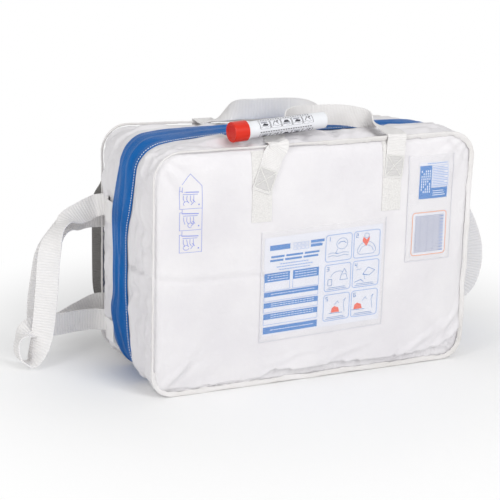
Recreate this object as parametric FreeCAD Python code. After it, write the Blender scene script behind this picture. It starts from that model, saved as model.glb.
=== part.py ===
import FreeCAD, Part
import math
import os
from FreeCAD import Vector

os.makedirs("parts", exist_ok=True)

# Bag size over its seams, in mm
LENGTH = 730.0
HEIGHT = 516.0
DEPTH = 318.0

# How far the packed raft pushes each side out, and how it crowns the two large panels
END_SWELL = 9.0
TOP_SWELL = 4.0
PANEL_CROWN = 12.0
CROWN_REACH = 120.0
CROWN_RINGS = (0, 0.12, 0.3, 0.6, 1)
TOP_RADIUS = 58.0
BASE_RADIUS = 46.0
BASE_SLACK = 30.0

# Chords that make up each rounded corner of the soft bag
CORNER_CHORDS = 6

# How far the top sinks towards the rear seam, at its left and right ends
REAR_DROP_LEFT = 8.0
REAR_DROP_RIGHT = 26.0
REAR_RIGHT_RADIUS = 78.0

# Closure band round the middle, and the piped seams of the two panels
BAND_WIDTH = 104.0
BAND_T = 3.0
WELT_R = 3.0
WELT_SIDES = 6
WELT_GAP = 0.3

# Webbing of the carrying handles and of the end loops
HANDLE_WEB = 45.0
LOOP_WEB = 50.0
WEB_T = 2.2
SEW_GAP = 0.3

# Fuzzy patches that the handle ends are sewn on, and how far they and the handles hang from the top
PATCH_WIDTH = 44.0
PATCH_T = 1.6
PATCH_EDGE = 10.0
LEFT_PATCH_X = -131.0
RIGHT_PATCH_X = 167.0
PATCH_DROP = 155.0
HANDLE_DROP = 91.0
REAR_HANDLE_DROP = 108.0
PATCH_FOOT = HEIGHT - PATCH_DROP
HANDLE_FOOT = HEIGHT - HANDLE_DROP
REAR_HANDLE_FOOT = HEIGHT - REAR_HANDLE_DROP

# Clear pocket on the front panel, below the patches, and the card in it
POCKET_WIDTH = 287.0
POCKET_HEIGHT = 238.0
POCKET_X = 14.0
POCKET_GAP = 26.0
POCKET_FOOT = PATCH_FOOT - POCKET_GAP - POCKET_HEIGHT
FILM_T = 0.8
CARD_T = 0.6
CARD_GAP = 0.1
CARD_WIDTH = 273.0
CARD_HEIGHT = 212.0

# Pocket of the service papers, hung from the top, with its two cards one above the other
PAPERS_WIDTH = 106.0
PAPERS_HEIGHT = 226.0
PAPERS_FROM_END = 104.0
PAPERS_X = LENGTH / 2 - PAPERS_FROM_END
PAPERS_DROP = 48.0
PAPERS_FOOT = HEIGHT - PAPERS_DROP - PAPERS_HEIGHT
SERVICE_WIDTH = 73.0
SERVICE_HEIGHT = 79.0
SERVICE_RISE = 131.0
SERVICE_FOOT = PAPERS_FOOT + SERVICE_RISE
SERVICE_ASIDE = 9.0
SERVICE_X = PAPERS_X + SERVICE_ASIDE
INSPECT_WIDTH = 85.0
INSPECT_HEIGHT = 95.0
INSPECT_RISE = 10.0
INSPECT_FOOT = PAPERS_FOOT + INSPECT_RISE
INSPECT_ASIDE = 3.5
INSPECT_X = PAPERS_X + INSPECT_ASIDE

# Tube that carries the papers, tucked over the front handle
TUBE_R = 17.2
TUBE_WALL = 1.6
TUBE_LENGTH = 217.0
COLLAR_R = 18.8
COLLAR_LENGTH = 7.0
CAP_R = 21.0
CAP_LENGTH = 33.0
CAP_OVERLAP = 25.0
CAP_RECESS_R = 13.0
CAP_RECESS = 1.2
CAP_FIT = 0.3
CAP_X = -187.0
CAP_FROM_SEAM = 34.0
CAP_RISE = 24.5
TUBE_AIM = Vector(220.0, 30.0, 6.0)
WRAP_START = 58.0
WRAP_LENGTH = 134.0
WRAP_T = 0.25
ROLL_R = 14.2
ROLL_T = 1.0
ROLL_LENGTH = 165.0
ROLL_SLIT = 3.0

# Where the end loops and the rear straps are sewn
UPPER_ANCHOR_Z = 340.0
LOWER_ANCHOR_Z = 77.0
REAR_UPPER_Z = 303.0
REAR_LOWER_Z = 104.0
REAR_STRAP_FROM_END = 20.0
REAR_STRAP_SEWN_FROM_END = 39.0
REAR_STRAP_DROP = 76.0
REAR_STRAP_BULGE = 44.0

# Fineness of the webbing between two places of a route, and how far a flat face may be off
SPANS = 3
FLAT = 1e-7

# How far the panels and the gusset stop short of the seam's own edge, to seat the piping
SEAT = WELT_R / math.cos(math.pi / WELT_SIDES) * math.sqrt(2) + WELT_GAP


def corner_arcs(y, grow, inset, swell, foot, steps):
    """Places along the four rounded corners of the bag's outline at y, each from its first to its last."""
    depth_share = min(max((y + DEPTH / 2) / DEPTH, 0), 1)
    half = LENGTH / 2 + grow - inset + swell * END_SWELL
    low = foot - grow + inset
    top = HEIGHT + grow - inset + swell * TOP_SWELL
    top_left = top - depth_share * REAR_DROP_LEFT
    top_right = top - depth_share * REAR_DROP_RIGHT
    foot_radius = BASE_RADIUS + grow + swell * BASE_SLACK
    left_radius = TOP_RADIUS + grow
    right_radius = left_radius + depth_share * (REAR_RIGHT_RADIUS - TOP_RADIUS)
    corners = [
        (half - foot_radius, low + foot_radius, foot_radius, -90),
        (half - right_radius, top_right - right_radius, right_radius, 0),
        (left_radius - half, top_left - left_radius, left_radius, 90),
        (foot_radius - half, low + foot_radius, foot_radius, 180),
    ]
    arcs = []
    for x, z, radius, start in corners:
        turn = [math.radians(start + 90 * step / steps) for step in range(steps + 1)]
        arcs.append([Vector(x + radius * math.cos(a), y, z + radius * math.sin(a)) for a in turn])
    return arcs


def bag_outline(y, grow, inset, swell):
    """Places round the bag at y, grown, drawn in by inset or swollen by a share of the swell."""
    arcs = corner_arcs(y, grow, inset, swell, BAND_T, CORNER_CHORDS)
    return [place for arc in arcs for place in arc]


def seam_path(side):
    """Path of the seam round one panel, as arcs and straight runs."""
    arcs = corner_arcs(side * DEPTH / 2, 0, 0, 0, WELT_R, 2)
    edges = []
    for here, after in zip(arcs, arcs[1:] + arcs[:1]):
        edges.append(Part.Arc(*here).toShape())
        edges.append(Part.makeLine(here[-1], after[0]))
    return Part.Wire(edges)


def flat_face(corners):
    """Flat face with the given corners."""
    return Part.Face(Part.makePolygon(list(corners) + [corners[0]]))


def patches(a, b, c, d):
    """Face with four corners, folded along its shorter diagonal where it isn't flat."""
    normal = (b - a).cross(c - a)
    if abs((d - a).dot(normal)) < FLAT * normal.Length:
        return [flat_face([a, b, c, d])]
    if (a - c).Length < (b - d).Length:
        return [flat_face([a, b, c]), flat_face([a, c, d])]
    return [flat_face([a, b, d]), flat_face([b, c, d])]


def closed(faces):
    """Solid inside a closed set of faces."""
    shell = Part.makeShell(faces)
    shell.sewShape()
    return Part.Solid(shell.Shells[0] if shell.ShapeType != "Shell" else shell)


def bag(grow=0.0):
    """Packed bag, grown evenly by grow: a swollen gusset between two crowned panels."""
    waist = DEPTH / 2 - SEAT
    gusset = [(share * waist, 0, 1 - share ** 2) for share in (-0.8, -0.44, 0, 0.44, 0.8)]
    front, rear = [], []
    for side, rings in ((-1, front), (1, rear)):
        rings.append((side * (waist + grow), 0, 0))
        for reach in CROWN_RINGS:
            rise = 1 - (1 - reach) ** 3
            y = side * (DEPTH / 2 + grow + rise * PANEL_CROWN)
            rings.append((y, SEAT + reach * CROWN_REACH, 0))
    places = list(reversed(front)) + gusset + rear
    rings = [bag_outline(y, grow, inset, swell) for y, inset, swell in places]
    faces = [flat_face(rings[0]), flat_face(rings[-1])]
    for here, after in zip(rings, rings[1:]):
        for first in range(len(here)):
            second = (first + 1) % len(here)
            faces += patches(here[first], here[second], after[second], after[first])
    return closed(faces)


def seam_top(side, x):
    """Height of the front (-1) or rear (1) seam's top edge at x."""
    if side < 0:
        return HEIGHT
    share = (x + LENGTH / 2) / LENGTH
    return HEIGHT - REAR_DROP_LEFT - share * (REAR_DROP_RIGHT - REAR_DROP_LEFT)


def ring_top(side, x, ring):
    """Height at which the crown's slope changes above x, at the ring given by its number."""
    return seam_top(side, x) - SEAT - CROWN_RINGS[ring] * CROWN_REACH


def ring_foot(ring):
    """Height at which the crown's slope changes near the floor, at the ring given by its number."""
    return BAND_T + SEAT + CROWN_RINGS[ring] * CROWN_REACH


BAG = bag()


def surface(start, direction):
    """First point of the bag's skin that a ray from start meets."""
    ray = Part.makeLine(start, start + direction * (LENGTH + HEIGHT + DEPTH))
    hits = BAG.common(ray).Vertexes
    return min((v.Point for v in hits), key=lambda p: (p - start).Length)


def on_panel(side, x, z, lift, lean=0.0):
    """Strap place on the front (-1) or rear (1) panel; lean turns its width from level, in degrees."""
    turn = math.radians(lean)
    outward = Vector(0, side, 0)

    def skin(wide, high):
        dx = wide * math.cos(turn) - high * math.sin(turn)
        dz = wide * math.sin(turn) + high * math.cos(turn)
        return surface(Vector(x + dx, side * DEPTH, z + dz), -outward)

    half = HANDLE_WEB / 2
    middle = skin(0, 0)
    marks = {wide: skin(wide, 0) for wide in (-half, -half / 2, half / 2, half)}
    across = (marks[half] - marks[-half]).normalize()
    rise = (skin(0, WEB_T) - skin(0, -WEB_T)).normalize()
    normal = across.cross(rise).normalize()
    if normal.dot(outward) < 0:
        normal = -normal
    over = max((place - middle).dot(normal) for place in marks.values())
    return middle + normal * (lift + max(over, 0)), across


def on_end(side, y, z, lift):
    """Point on the left (-1) or right (1) end of the bag, lifted off the cloth."""
    point = surface(Vector(side * LENGTH, y, z), Vector(-side, 0, 0))
    return point + Vector(side * lift, 0, 0)


def on_top(x, y, lift):
    """Point on top of the bag, lifted off the cloth."""
    point = surface(Vector(x, y, 2 * HEIGHT), Vector(0, 0, -1))
    return point + Vector(0, 0, lift)


def smooth(before, start, end, after, share):
    """Place on the smooth curve from start to end that also heeds its neighbours."""
    flat = start * 2
    first = (end - before) * share
    second = (before * 2 - start * 5 + end * 4 - after) * share ** 2
    third = (start * 3 - before - end * 3 + after) * share ** 3
    return (flat + first + second + third) * 0.5


def resample(values):
    """Smoothly subdivided list of vectors, keeping every given one."""
    padded = [values[0] * 2 - values[1]] + values + [values[-1] * 2 - values[-2]]
    dense = []
    for index in range(len(values) - 1):
        for step in range(SPANS):
            dense.append(smooth(*padded[index:index + 4], step / SPANS))
    return dense + [values[-1]]


def webbing(route, width):
    """Flat strap along a route of centre points, each with the strap's own width direction."""
    centres = resample([place for place, across in route])
    acrosses = resample([Vector(across).normalize() for place, across in route])
    sections = []
    for index, centre in enumerate(centres):
        ahead = centres[min(index + 1, len(centres) - 1)]
        behind = centres[max(index - 1, 0)]
        along = (ahead - behind).normalize()
        across = acrosses[index]
        across = (across - along * across.dot(along)).normalize()
        face = along.cross(across).normalize()
        side = across * (width / 2)
        skin = face * (WEB_T / 2)
        corners = [centre + side + skin, centre - side + skin]
        sections.append(corners + [centre - side - skin, centre + side - skin])
    faces = [flat_face(sections[0]), flat_face(sections[-1])]
    for here, after in zip(sections, sections[1:]):
        for corner in range(4):
            around = (corner + 1) % 4
            faces += patches(here[corner], here[around], after[around], after[corner])
    return closed(faces)


def panel_block(side, x, foot, width, height):
    """Block that marks out a rectangle of the front or rear panel."""
    reach = DEPTH / 2 + PANEL_CROWN + CROWN_REACH
    start_y = 0 if side > 0 else -reach
    return Part.makeBox(width, reach, height, Vector(x - width / 2, start_y, foot))


def panel_skin(side, x, foot, width, height, thickness):
    """Sheet that lies on a panel and follows its crown."""
    skin = bag(thickness).common(panel_block(side, x, foot, width, height))
    return skin.cut(BAG)


def closure_band():
    """Band round the bag over the closure, between the two gussets."""
    reach = LENGTH + HEIGHT
    block = Part.makeBox(reach * 2, BAND_WIDTH, reach * 2, Vector(-reach, -BAND_WIDTH / 2, -reach))
    return bag(BAND_T).common(block).cut(BAG).removeSplitter()


def welt(side):
    """Piping in the seam round one panel: straight runs joined by bends."""
    path = seam_path(side)
    pieces = []
    for edge in path.Edges:
        start = edge.valueAt(edge.FirstParameter)
        outward = Vector(0, side, 0)
        level = edge.tangentAt(edge.FirstParameter).cross(outward)
        rim = []
        for step in range(WELT_SIDES + 1):
            turn = 2 * math.pi * (step + 0.5) / WELT_SIDES
            reach = WELT_R / math.cos(math.pi / WELT_SIDES)
            rim.append(start + (outward * math.sin(turn) + level * math.cos(turn)) * reach)
        section = Part.Face(Part.makePolygon(rim[:-1] + rim[:1]))
        if edge.Curve.TypeId == "Part::GeomLine":
            pieces.append(section.extrude(edge.valueAt(edge.LastParameter) - start))
        else:
            pieces.append(section.revolve(edge.Curve.Center, Vector(0, -1, 0), 90))
    return pieces[0].multiFuse(pieces[1:]).removeSplitter()


def pocket(x, foot, width, height, cards):
    """Clear pocket on the front panel, open at its top edge, with room for its cards."""
    block = panel_block(-1, x, foot, width, height)
    film = bag(CARD_T + FILM_T).common(block).cut(BAG)
    rooms = bag(CARD_T + CARD_GAP)
    for card_x, card_foot, card_width, card_height in cards:
        room = panel_block(-1, card_x, card_foot - CARD_GAP, card_width + 2 * CARD_GAP,
                           card_height + 2 * CARD_GAP)
        film = film.cut(rooms.common(room))
    mouth_x, mouth_foot, mouth_width, mouth_height = cards[-1]
    mouth_start = mouth_foot + mouth_height
    mouth = panel_block(-1, mouth_x, mouth_start, mouth_width, foot + height - mouth_start)
    return film.cut(rooms.common(mouth))


def tube_placement():
    """Placement of the tube's own axis, from the closed end of the cap inwards."""
    turn = FreeCAD.Rotation(Vector(0, 0, 1), TUBE_AIM)
    return FreeCAD.Placement(Vector(CAP_X, CAP_FROM_SEAM - SEAM_Y, HEIGHT + CAP_RISE), turn)


def turned(profile):
    """Solid turned about the tube's axis from a closed profile of radius and distance."""
    points = [Vector(radius, 0, along) for radius, along in profile]
    face = Part.Face(Part.makePolygon(points + points[:1]))
    solid = face.revolve(Vector(0, 0, 0), Vector(0, 0, 1), 360)
    solid.Placement = tube_placement()
    return solid


MOUTH = CAP_LENGTH - CAP_OVERLAP
TUBE_FOOT = MOUTH + TUBE_LENGTH


def document_tube():
    """Tube with a collar that the cap's rim stops at and a closed far end."""
    bore = TUBE_R - TUBE_WALL
    collar_start = CAP_LENGTH + CAP_FIT
    collar_end = collar_start + COLLAR_LENGTH
    return turned([
        (bore, MOUTH), (TUBE_R, MOUTH), (TUBE_R, collar_start), (COLLAR_R, collar_start),
        (COLLAR_R, collar_end), (TUBE_R, collar_end), (TUBE_R, TUBE_FOOT - TUBE_WALL),
        (bore, TUBE_FOOT), (0, TUBE_FOOT), (0, TUBE_FOOT - TUBE_WALL), (bore, TUBE_FOOT - TUBE_WALL),
    ])


def tube_cap():
    """Pull-off cap with a round recess in its end."""
    bore = TUBE_R + CAP_FIT
    roof = MOUTH - CAP_FIT
    rim = TUBE_WALL
    return turned([
        (0, CAP_RECESS), (CAP_RECESS_R, CAP_RECESS), (CAP_RECESS_R + CAP_RECESS, 0),
        (CAP_R - rim, 0), (CAP_R, rim), (CAP_R, CAP_LENGTH), (bore, CAP_LENGTH), (bore, roof),
        (0, roof),
    ])


def tube_label():
    """Printed wrap round the tube."""
    start = WRAP_START
    end = WRAP_START + WRAP_LENGTH
    outer = TUBE_R + WRAP_T
    return turned([(TUBE_R, start), (outer, start), (outer, end), (TUBE_R, end)])


def rolled_card():
    """Identification card rolled up in the tube, resting on its lower wall."""
    start = MOUTH + TUBE_WALL
    drop = TUBE_R - TUBE_WALL - ROLL_R - CAP_FIT
    roll = Part.makeCylinder(ROLL_R, ROLL_LENGTH).cut(Part.makeCylinder(ROLL_R - ROLL_T, ROLL_LENGTH))
    slit = Part.makeBox(ROLL_R, ROLL_SLIT, ROLL_LENGTH, Vector(0, -ROLL_SLIT / 2, 0))
    roll = roll.cut(slit)
    roll.translate(Vector(0, 0, start))
    roll.Placement = tube_placement().multiply(roll.Placement)
    roll.translate(Vector(0, 0, -drop))
    return roll


SEWN = 2 * SEW_GAP + WEB_T / 2
OVER_PATCH = PATCH_T + SEWN
SEAM_Y = DEPTH / 2
END_X = LENGTH / 2
ACROSS_X = Vector(1, 0, 0)
ACROSS_Z = Vector(0, 0, 1)


def turned_over(places):
    """The same strap places with their width directions reversed."""
    return [(place, -across) for place, across in places]


def over_seam(side, x, across):
    """Three places of a strap that bends over the piping at a panel's top edge."""
    top = seam_top(side, x)
    reach = WELT_R + WEB_T / 2 + 4 * SEW_GAP
    across = across + Vector(0, 0, (seam_top(side, x + 1) - top) * across.x)
    return [
        (Vector(x, side * (SEAM_Y + reach), top - WELT_R), across),
        (Vector(x, side * (SEAM_Y + 0.75 * reach), top + 0.75 * reach), across),
        (Vector(x, side * (SEAM_Y - WELT_R), top + reach), across),
    ]


def front_handle():
    """Carrying strap of the front panel: up both legs, over the edge, its grip on edge."""
    left = LEFT_PATCH_X + 3
    right = RIGHT_PATCH_X + 1
    return webbing([
        on_panel(-1, left, HANDLE_FOOT, OVER_PATCH, -18),
        on_panel(-1, left + 6, ring_top(-1, left, 3), OVER_PATCH, -18),
        on_panel(-1, left + 17, ring_top(-1, left, 2), OVER_PATCH, -18),
        on_panel(-1, left + 24, ring_top(-1, left, 1), OVER_PATCH, -15),
        *over_seam(-1, left + 31, Vector(0.98, 0, 0)),
        (on_top(left + 40, 38 - SEAM_Y, SEWN + WEB_T / 4), Vector(0.98, -0.15, 0)),
        (on_top(left + 50, 64 - SEAM_Y, SEWN + WEB_T / 2), Vector(0.98, -0.2, 0.05)),
        (Vector(left + 71, 89.6 - SEAM_Y, HEIGHT + 18), Vector(0.86, -0.25, 0.45)),
        (Vector(left + 104, 99 - SEAM_Y, HEIGHT + 34), Vector(0.35, -0.15, 0.93)),
        (Vector(left + 150, 101 - SEAM_Y, HEIGHT + 34), ACROSS_Z),
        (Vector(right - 92, 97 - SEAM_Y, HEIGHT + 33), ACROSS_Z),
        (Vector(right - 44, 87 - SEAM_Y, HEIGHT + 31), Vector(-0.15, 0.1, 0.98)),
        (Vector(right - 16, 74 - SEAM_Y, HEIGHT + 26), Vector(-0.72, 0.4, 0.55)),
        (Vector(right - 3, 52 - SEAM_Y, HEIGHT + 17), Vector(-0.95, 0.2, 0.2)),
        (Vector(right + 3, 26 - SEAM_Y, HEIGHT + 10), -ACROSS_X),
        *reversed(over_seam(-1, right + 6, -ACROSS_X)),
        *turned_over([
            on_panel(-1, right + 5, ring_top(-1, right, 1), OVER_PATCH),
            on_panel(-1, right + 4, ring_top(-1, right, 2), OVER_PATCH),
            on_panel(-1, right, ring_top(-1, right, 3), OVER_PATCH),
        ]),
    ], HANDLE_WEB)


def rear_handle():
    """Carrying strap of the rear panel: its grip stands on edge at the left and lies down at the right."""
    left = LEFT_PATCH_X
    right = RIGHT_PATCH_X
    foot = REAR_HANDLE_FOOT
    return webbing([
        on_panel(1, left, foot, OVER_PATCH),
        on_panel(1, left, ring_top(1, left, 3), OVER_PATCH),
        on_panel(1, left - 1, ring_top(1, left, 2), OVER_PATCH),
        on_panel(1, left - 1, ring_top(1, left, 1), OVER_PATCH),
        *over_seam(1, left - 2, ACROSS_X),
        (on_top(left + 6, SEAM_Y - 28, SEWN + 5), Vector(0.98, 0.1, 0.1)),
        (on_top(left + 22, SEAM_Y - 46, 15), Vector(0.8, 0.25, 0.5)),
        (Vector(left + 48, SEAM_Y - 72, HEIGHT + 23), Vector(0.35, 0.2, 0.9)),
        (Vector(left + 80, SEAM_Y - 96, HEIGHT + 28), Vector(0.05, 0.1, 1)),
        (Vector(left + 132, SEAM_Y - 108, HEIGHT + 30), ACROSS_Z),
        (Vector(left + 184, SEAM_Y - 108, HEIGHT + 26), Vector(0, 0.4, 0.9)),
        (Vector(right - 64, SEAM_Y - 102, HEIGHT + 17), Vector(-0.05, 0.85, 0.5)),
        (on_top(right - 28, SEAM_Y - 86, 11), Vector(-0.5, 0.85, 0.12)),
        (on_top(right - 6, SEAM_Y - 58, 9), Vector(-0.9, 0.4, 0.05)),
        (on_top(right, SEAM_Y - 28, 7), -ACROSS_X),
        *reversed(over_seam(1, right + 1, -ACROSS_X)),
        *turned_over([
            on_panel(1, right, ring_top(1, right, 1), OVER_PATCH),
            on_panel(1, right, ring_top(1, right, 2), OVER_PATCH),
            on_panel(1, right, ring_top(1, right, 3), OVER_PATCH),
            on_panel(1, right, foot, OVER_PATCH),
        ]),
    ], HANDLE_WEB)


def sewn_on_end(side, height):
    """Places of a strap sewn flat on the rear gusset of one end, from the band outwards."""
    start = BAND_WIDTH / 2 + SEW_GAP
    places = [start + share * (SEAM_Y - 26 - start) for share in (0, 0.35, 0.7, 1)]
    return [(on_end(side, y, height, SEWN + WEB_T / 4), ACROSS_Z) for y in places]


def beside(side, out, from_seam, z):
    """Place beside an end of the bag: out from the end, forward from the rear seam, and up."""
    return Vector(side * (END_X + out), SEAM_Y - from_seam, z)


def left_loop_front():
    """Front loop of the left end: out, down to the floor, round one curl and back in."""
    upper = UPPER_ANCHOR_Z
    lower = LOWER_ANCHOR_Z
    free = [
        (beside(-1, 12, 17, upper - 2), ACROSS_Z),
        (beside(-1, 24, 11, upper - 7), Vector(0, 0.1, 1)),
        (beside(-1, 55, 18, upper - 17), Vector(0.3, 0.65, 0.7)),
        (beside(-1, 80, 26, upper - 22), Vector(0.3, 0.85, 0.4)),
        (beside(-1, 100, 37, upper - 30), Vector(0.1, 0.98, 0.1)),
        (beside(-1, 118, 44, upper - 50), Vector(-0.4, 0.9, -0.1)),
        (beside(-1, 134, 51, upper - 92), Vector(-0.87, 0.46, 0)),
        (beside(-1, 142, 56, upper - 166), Vector(-0.9, 0.43, 0)),
        (beside(-1, 150, 56, lower + 18), Vector(-0.88, 0.48, 0)),
        (beside(-1, 160, 57, lower - 31), Vector(-0.7, 0.72, 0)),
        (beside(-1, 179, 56, lower - 66), Vector(-0.25, 0.96, -0.05)),
        (beside(-1, 201, 51, lower - 58), Vector(0, 1, -0.12)),
        (beside(-1, 208, 45, lower - 34), Vector(0.02, 0.97, -0.2)),
        (beside(-1, 199, 41, lower - 10), Vector(0.15, 0.98, 0.05)),
        (beside(-1, 176, 34, lower + 2), Vector(0.1, 0.8, 0.55)),
        (beside(-1, 143, 25, lower + 4), Vector(0, 0.35, 0.93)),
        (beside(-1, 108, 20, lower + 1), Vector(0, 0.1, 1)),
        (beside(-1, 67, 16, lower + 2), ACROSS_Z),
        (beside(-1, 28, 14, lower + 2), ACROSS_Z),
        (beside(-1, 12, 17, lower), ACROSS_Z),
    ]
    inward = list(reversed(sewn_on_end(-1, lower)))
    return webbing(sewn_on_end(-1, upper) + free + inward, LOOP_WEB)


def left_loop_rear():
    """Rear loop of the left end, sewn on the rear panel and hanging close behind the front one."""
    upper = REAR_UPPER_Z
    lower = REAR_LOWER_Z
    return webbing([
        on_panel(1, 70 - END_X, upper, SEWN, 90),
        on_panel(1, 46 - END_X, upper, SEWN, 90),
        on_panel(1, 24 - END_X, upper, SEWN + 1, 90),
        (beside(-1, 4, -16, upper), ACROSS_Z),
        (beside(-1, 30, -13, upper + 1), ACROSS_Z),
        (beside(-1, 58, -2, upper + 1), Vector(0.15, 0.5, 0.85)),
        (beside(-1, 83, 6, upper - 4), Vector(0, 0.85, 0.5)),
        (beside(-1, 107, 15, upper - 21), Vector(-0.45, 0.85, 0.1)),
        (beside(-1, 133, 22, upper - 64), Vector(-0.87, 0.46, 0)),
        (beside(-1, 143, 25, upper - 109), Vector(-0.9, 0.43, 0)),
        (beside(-1, 147, 8, lower + 26), Vector(-0.9, 0.43, -0.1)),
        (beside(-1, 141, -12, lower - 27), Vector(-0.75, 0.5, -0.45)),
        (beside(-1, 121, -20, lower - 47), Vector(-0.35, 0.3, -0.9)),
        (beside(-1, 91, -19, lower - 37), Vector(-0.1, 0.1, -1)),
        (beside(-1, 52, -16, lower - 18), -ACROSS_Z),
        (beside(-1, 10, -17, lower - 2), -ACROSS_Z),
        *turned_over([
            on_panel(1, 22 - END_X, lower, SEWN + 1, 90),
            on_panel(1, 46 - END_X, lower, SEWN, 90),
            on_panel(1, 70 - END_X, lower, SEWN, 90),
        ]),
    ], LOOP_WEB)


def right_loop():
    """Loop of the right end: out, down with its face to the front, and back in."""
    upper = UPPER_ANCHOR_Z
    lower = LOWER_ANCHOR_Z
    free = [
        (beside(1, 12, 17, upper - 2), ACROSS_Z),
        (beside(1, 24, 11, upper - 9), ACROSS_Z),
        (beside(1, 66, 18, upper - 24), Vector(0.1, -0.2, 0.97)),
        (beside(1, 112, 32, upper - 48), Vector(0.4, -0.4, 0.8)),
        (beside(1, 150, 47, upper - 88), Vector(0.8, -0.42, 0.4)),
        (beside(1, 171, 60, upper - 140), Vector(0.9, -0.43, 0.05)),
        (beside(1, 177, 69, upper - 184), Vector(0.9, -0.43, 0)),
        (beside(1, 171, 73, lower + 34), Vector(0.88, -0.4, -0.2)),
        (beside(1, 152, 68, lower - 6), Vector(0.6, -0.3, -0.7)),
        (beside(1, 112, 50, lower - 24), Vector(0.2, -0.15, -0.96)),
        (beside(1, 66, 28, lower - 16), -ACROSS_Z),
        (beside(1, 26, 12, lower - 2), -ACROSS_Z),
        (beside(1, 12, 17, lower), -ACROSS_Z),
    ]
    inward = turned_over(reversed(sewn_on_end(1, lower)))
    return webbing(sewn_on_end(1, upper) + free + inward, LOOP_WEB)


def rear_strap(side):
    """Upright strap of the rear panel, sewn at both ends and standing off between them."""
    x = side * (END_X - REAR_STRAP_FROM_END)
    sewn_x = side * (END_X - REAR_STRAP_SEWN_FROM_END)
    top = HEIGHT - REAR_STRAP_DROP
    foot = ring_foot(2)
    out = SEAM_Y + PANEL_CROWN
    return webbing([
        on_panel(1, sewn_x, top, SEWN + WEB_T / 4),
        on_panel(1, sewn_x, ring_top(1, sewn_x, 3), SEWN + WEB_T / 4),
        (Vector((x + sewn_x) / 2, out + 10, top - 62), ACROSS_X),
        (Vector(x, out + 0.8 * REAR_STRAP_BULGE, top - 100), ACROSS_X),
        (Vector(x, out + REAR_STRAP_BULGE, top - 150), ACROSS_X),
        (Vector(x, out + REAR_STRAP_BULGE, foot + 130), ACROSS_X),
        (Vector(x, out + 0.8 * REAR_STRAP_BULGE, foot + 80), ACROSS_X),
        (Vector((x + sewn_x) / 2, out + 17, foot + 40), ACROSS_X),
        on_panel(1, sewn_x, ring_foot(2), SEWN + WEB_T / 2),
        on_panel(1, sewn_x, ring_foot(1), SEWN + WEB_T / 2),
    ], LOOP_WEB)


def save(node, shape):
    """Write one sub-part, and report its size."""
    shape.exportStep("parts/" + node + ".step")
    box = shape.BoundBox
    print(f"{node:26s} valid {shape.isValid()} solids {len(shape.Solids)} volume {shape.Volume:.0f}"
          f" x {box.XMin:.1f}..{box.XMax:.1f} y {box.YMin:.1f}..{box.YMax:.1f}"
          f" z {box.ZMin:.1f}..{box.ZMax:.1f}")


save("valise_body", BAG)
save("closure_band", closure_band())
save("front_piping", welt(-1))
save("rear_piping", welt(1))

for panel, panel_side in (("front", -1), ("rear", 1)):
    for name, patch_x in (("left", LEFT_PATCH_X), ("right", RIGHT_PATCH_X)):
        patch_height = seam_top(panel_side, patch_x) - PATCH_EDGE - PATCH_FOOT
        patch = panel_skin(panel_side, patch_x, PATCH_FOOT, PATCH_WIDTH, patch_height, PATCH_T)
        save(panel + "_patch_" + name, patch)

card_foot = POCKET_FOOT + (POCKET_HEIGHT - CARD_HEIGHT) / 2
save("label_pocket", pocket(POCKET_X, POCKET_FOOT, POCKET_WIDTH, POCKET_HEIGHT,
                            [(POCKET_X, card_foot, CARD_WIDTH, CARD_HEIGHT)]))
save("instruction_card", panel_skin(-1, POCKET_X, card_foot, CARD_WIDTH, CARD_HEIGHT, CARD_T))
save("papers_pocket", pocket(PAPERS_X, PAPERS_FOOT, PAPERS_WIDTH, PAPERS_HEIGHT, [
    (INSPECT_X, INSPECT_FOOT, INSPECT_WIDTH, INSPECT_HEIGHT),
    (SERVICE_X, SERVICE_FOOT, SERVICE_WIDTH, SERVICE_HEIGHT),
]))
save("service_card", panel_skin(-1, SERVICE_X, SERVICE_FOOT, SERVICE_WIDTH, SERVICE_HEIGHT, CARD_T))
save("inspection_card",
     panel_skin(-1, INSPECT_X, INSPECT_FOOT, INSPECT_WIDTH, INSPECT_HEIGHT, CARD_T))

save("front_handle", front_handle())
save("rear_handle", rear_handle())
save("left_loop_front", left_loop_front())
save("left_loop_rear", left_loop_rear())
save("right_loop", right_loop())
save("rear_strap_left", rear_strap(-1))
save("rear_strap_right", rear_strap(1))

save("document_tube", document_tube())
save("tube_cap", tube_cap())
save("tube_label", tube_label())
save("rolled_card", rolled_card())
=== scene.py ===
import math

import bmesh
import bpy
import numpy as np
from mathutils import Matrix, Vector, noise
from mathutils.bvhtree import BVHTree


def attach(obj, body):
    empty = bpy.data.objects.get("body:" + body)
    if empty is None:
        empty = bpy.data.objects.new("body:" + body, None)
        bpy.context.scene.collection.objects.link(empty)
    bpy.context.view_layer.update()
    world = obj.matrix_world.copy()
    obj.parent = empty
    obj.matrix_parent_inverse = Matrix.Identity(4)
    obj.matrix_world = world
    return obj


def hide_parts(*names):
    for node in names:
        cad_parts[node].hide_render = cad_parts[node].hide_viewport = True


bl_info = {
    "name": "Liferaft valise",
    "version": (1, 0, 0),
    "blender": (4, 5, 0),
    "location": "View3D > Sidebar > Valise",
    "description": "Soft surfaces, webbing, print and studio of a packed liferaft valise",
    "category": "Object",
}

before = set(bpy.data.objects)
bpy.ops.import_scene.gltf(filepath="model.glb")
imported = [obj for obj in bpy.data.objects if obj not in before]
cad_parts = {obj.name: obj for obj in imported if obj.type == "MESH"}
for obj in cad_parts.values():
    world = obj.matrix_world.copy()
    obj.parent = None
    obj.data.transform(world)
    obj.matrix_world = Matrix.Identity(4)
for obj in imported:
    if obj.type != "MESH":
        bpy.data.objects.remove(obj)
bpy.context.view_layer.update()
MM = 0.001

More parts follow.
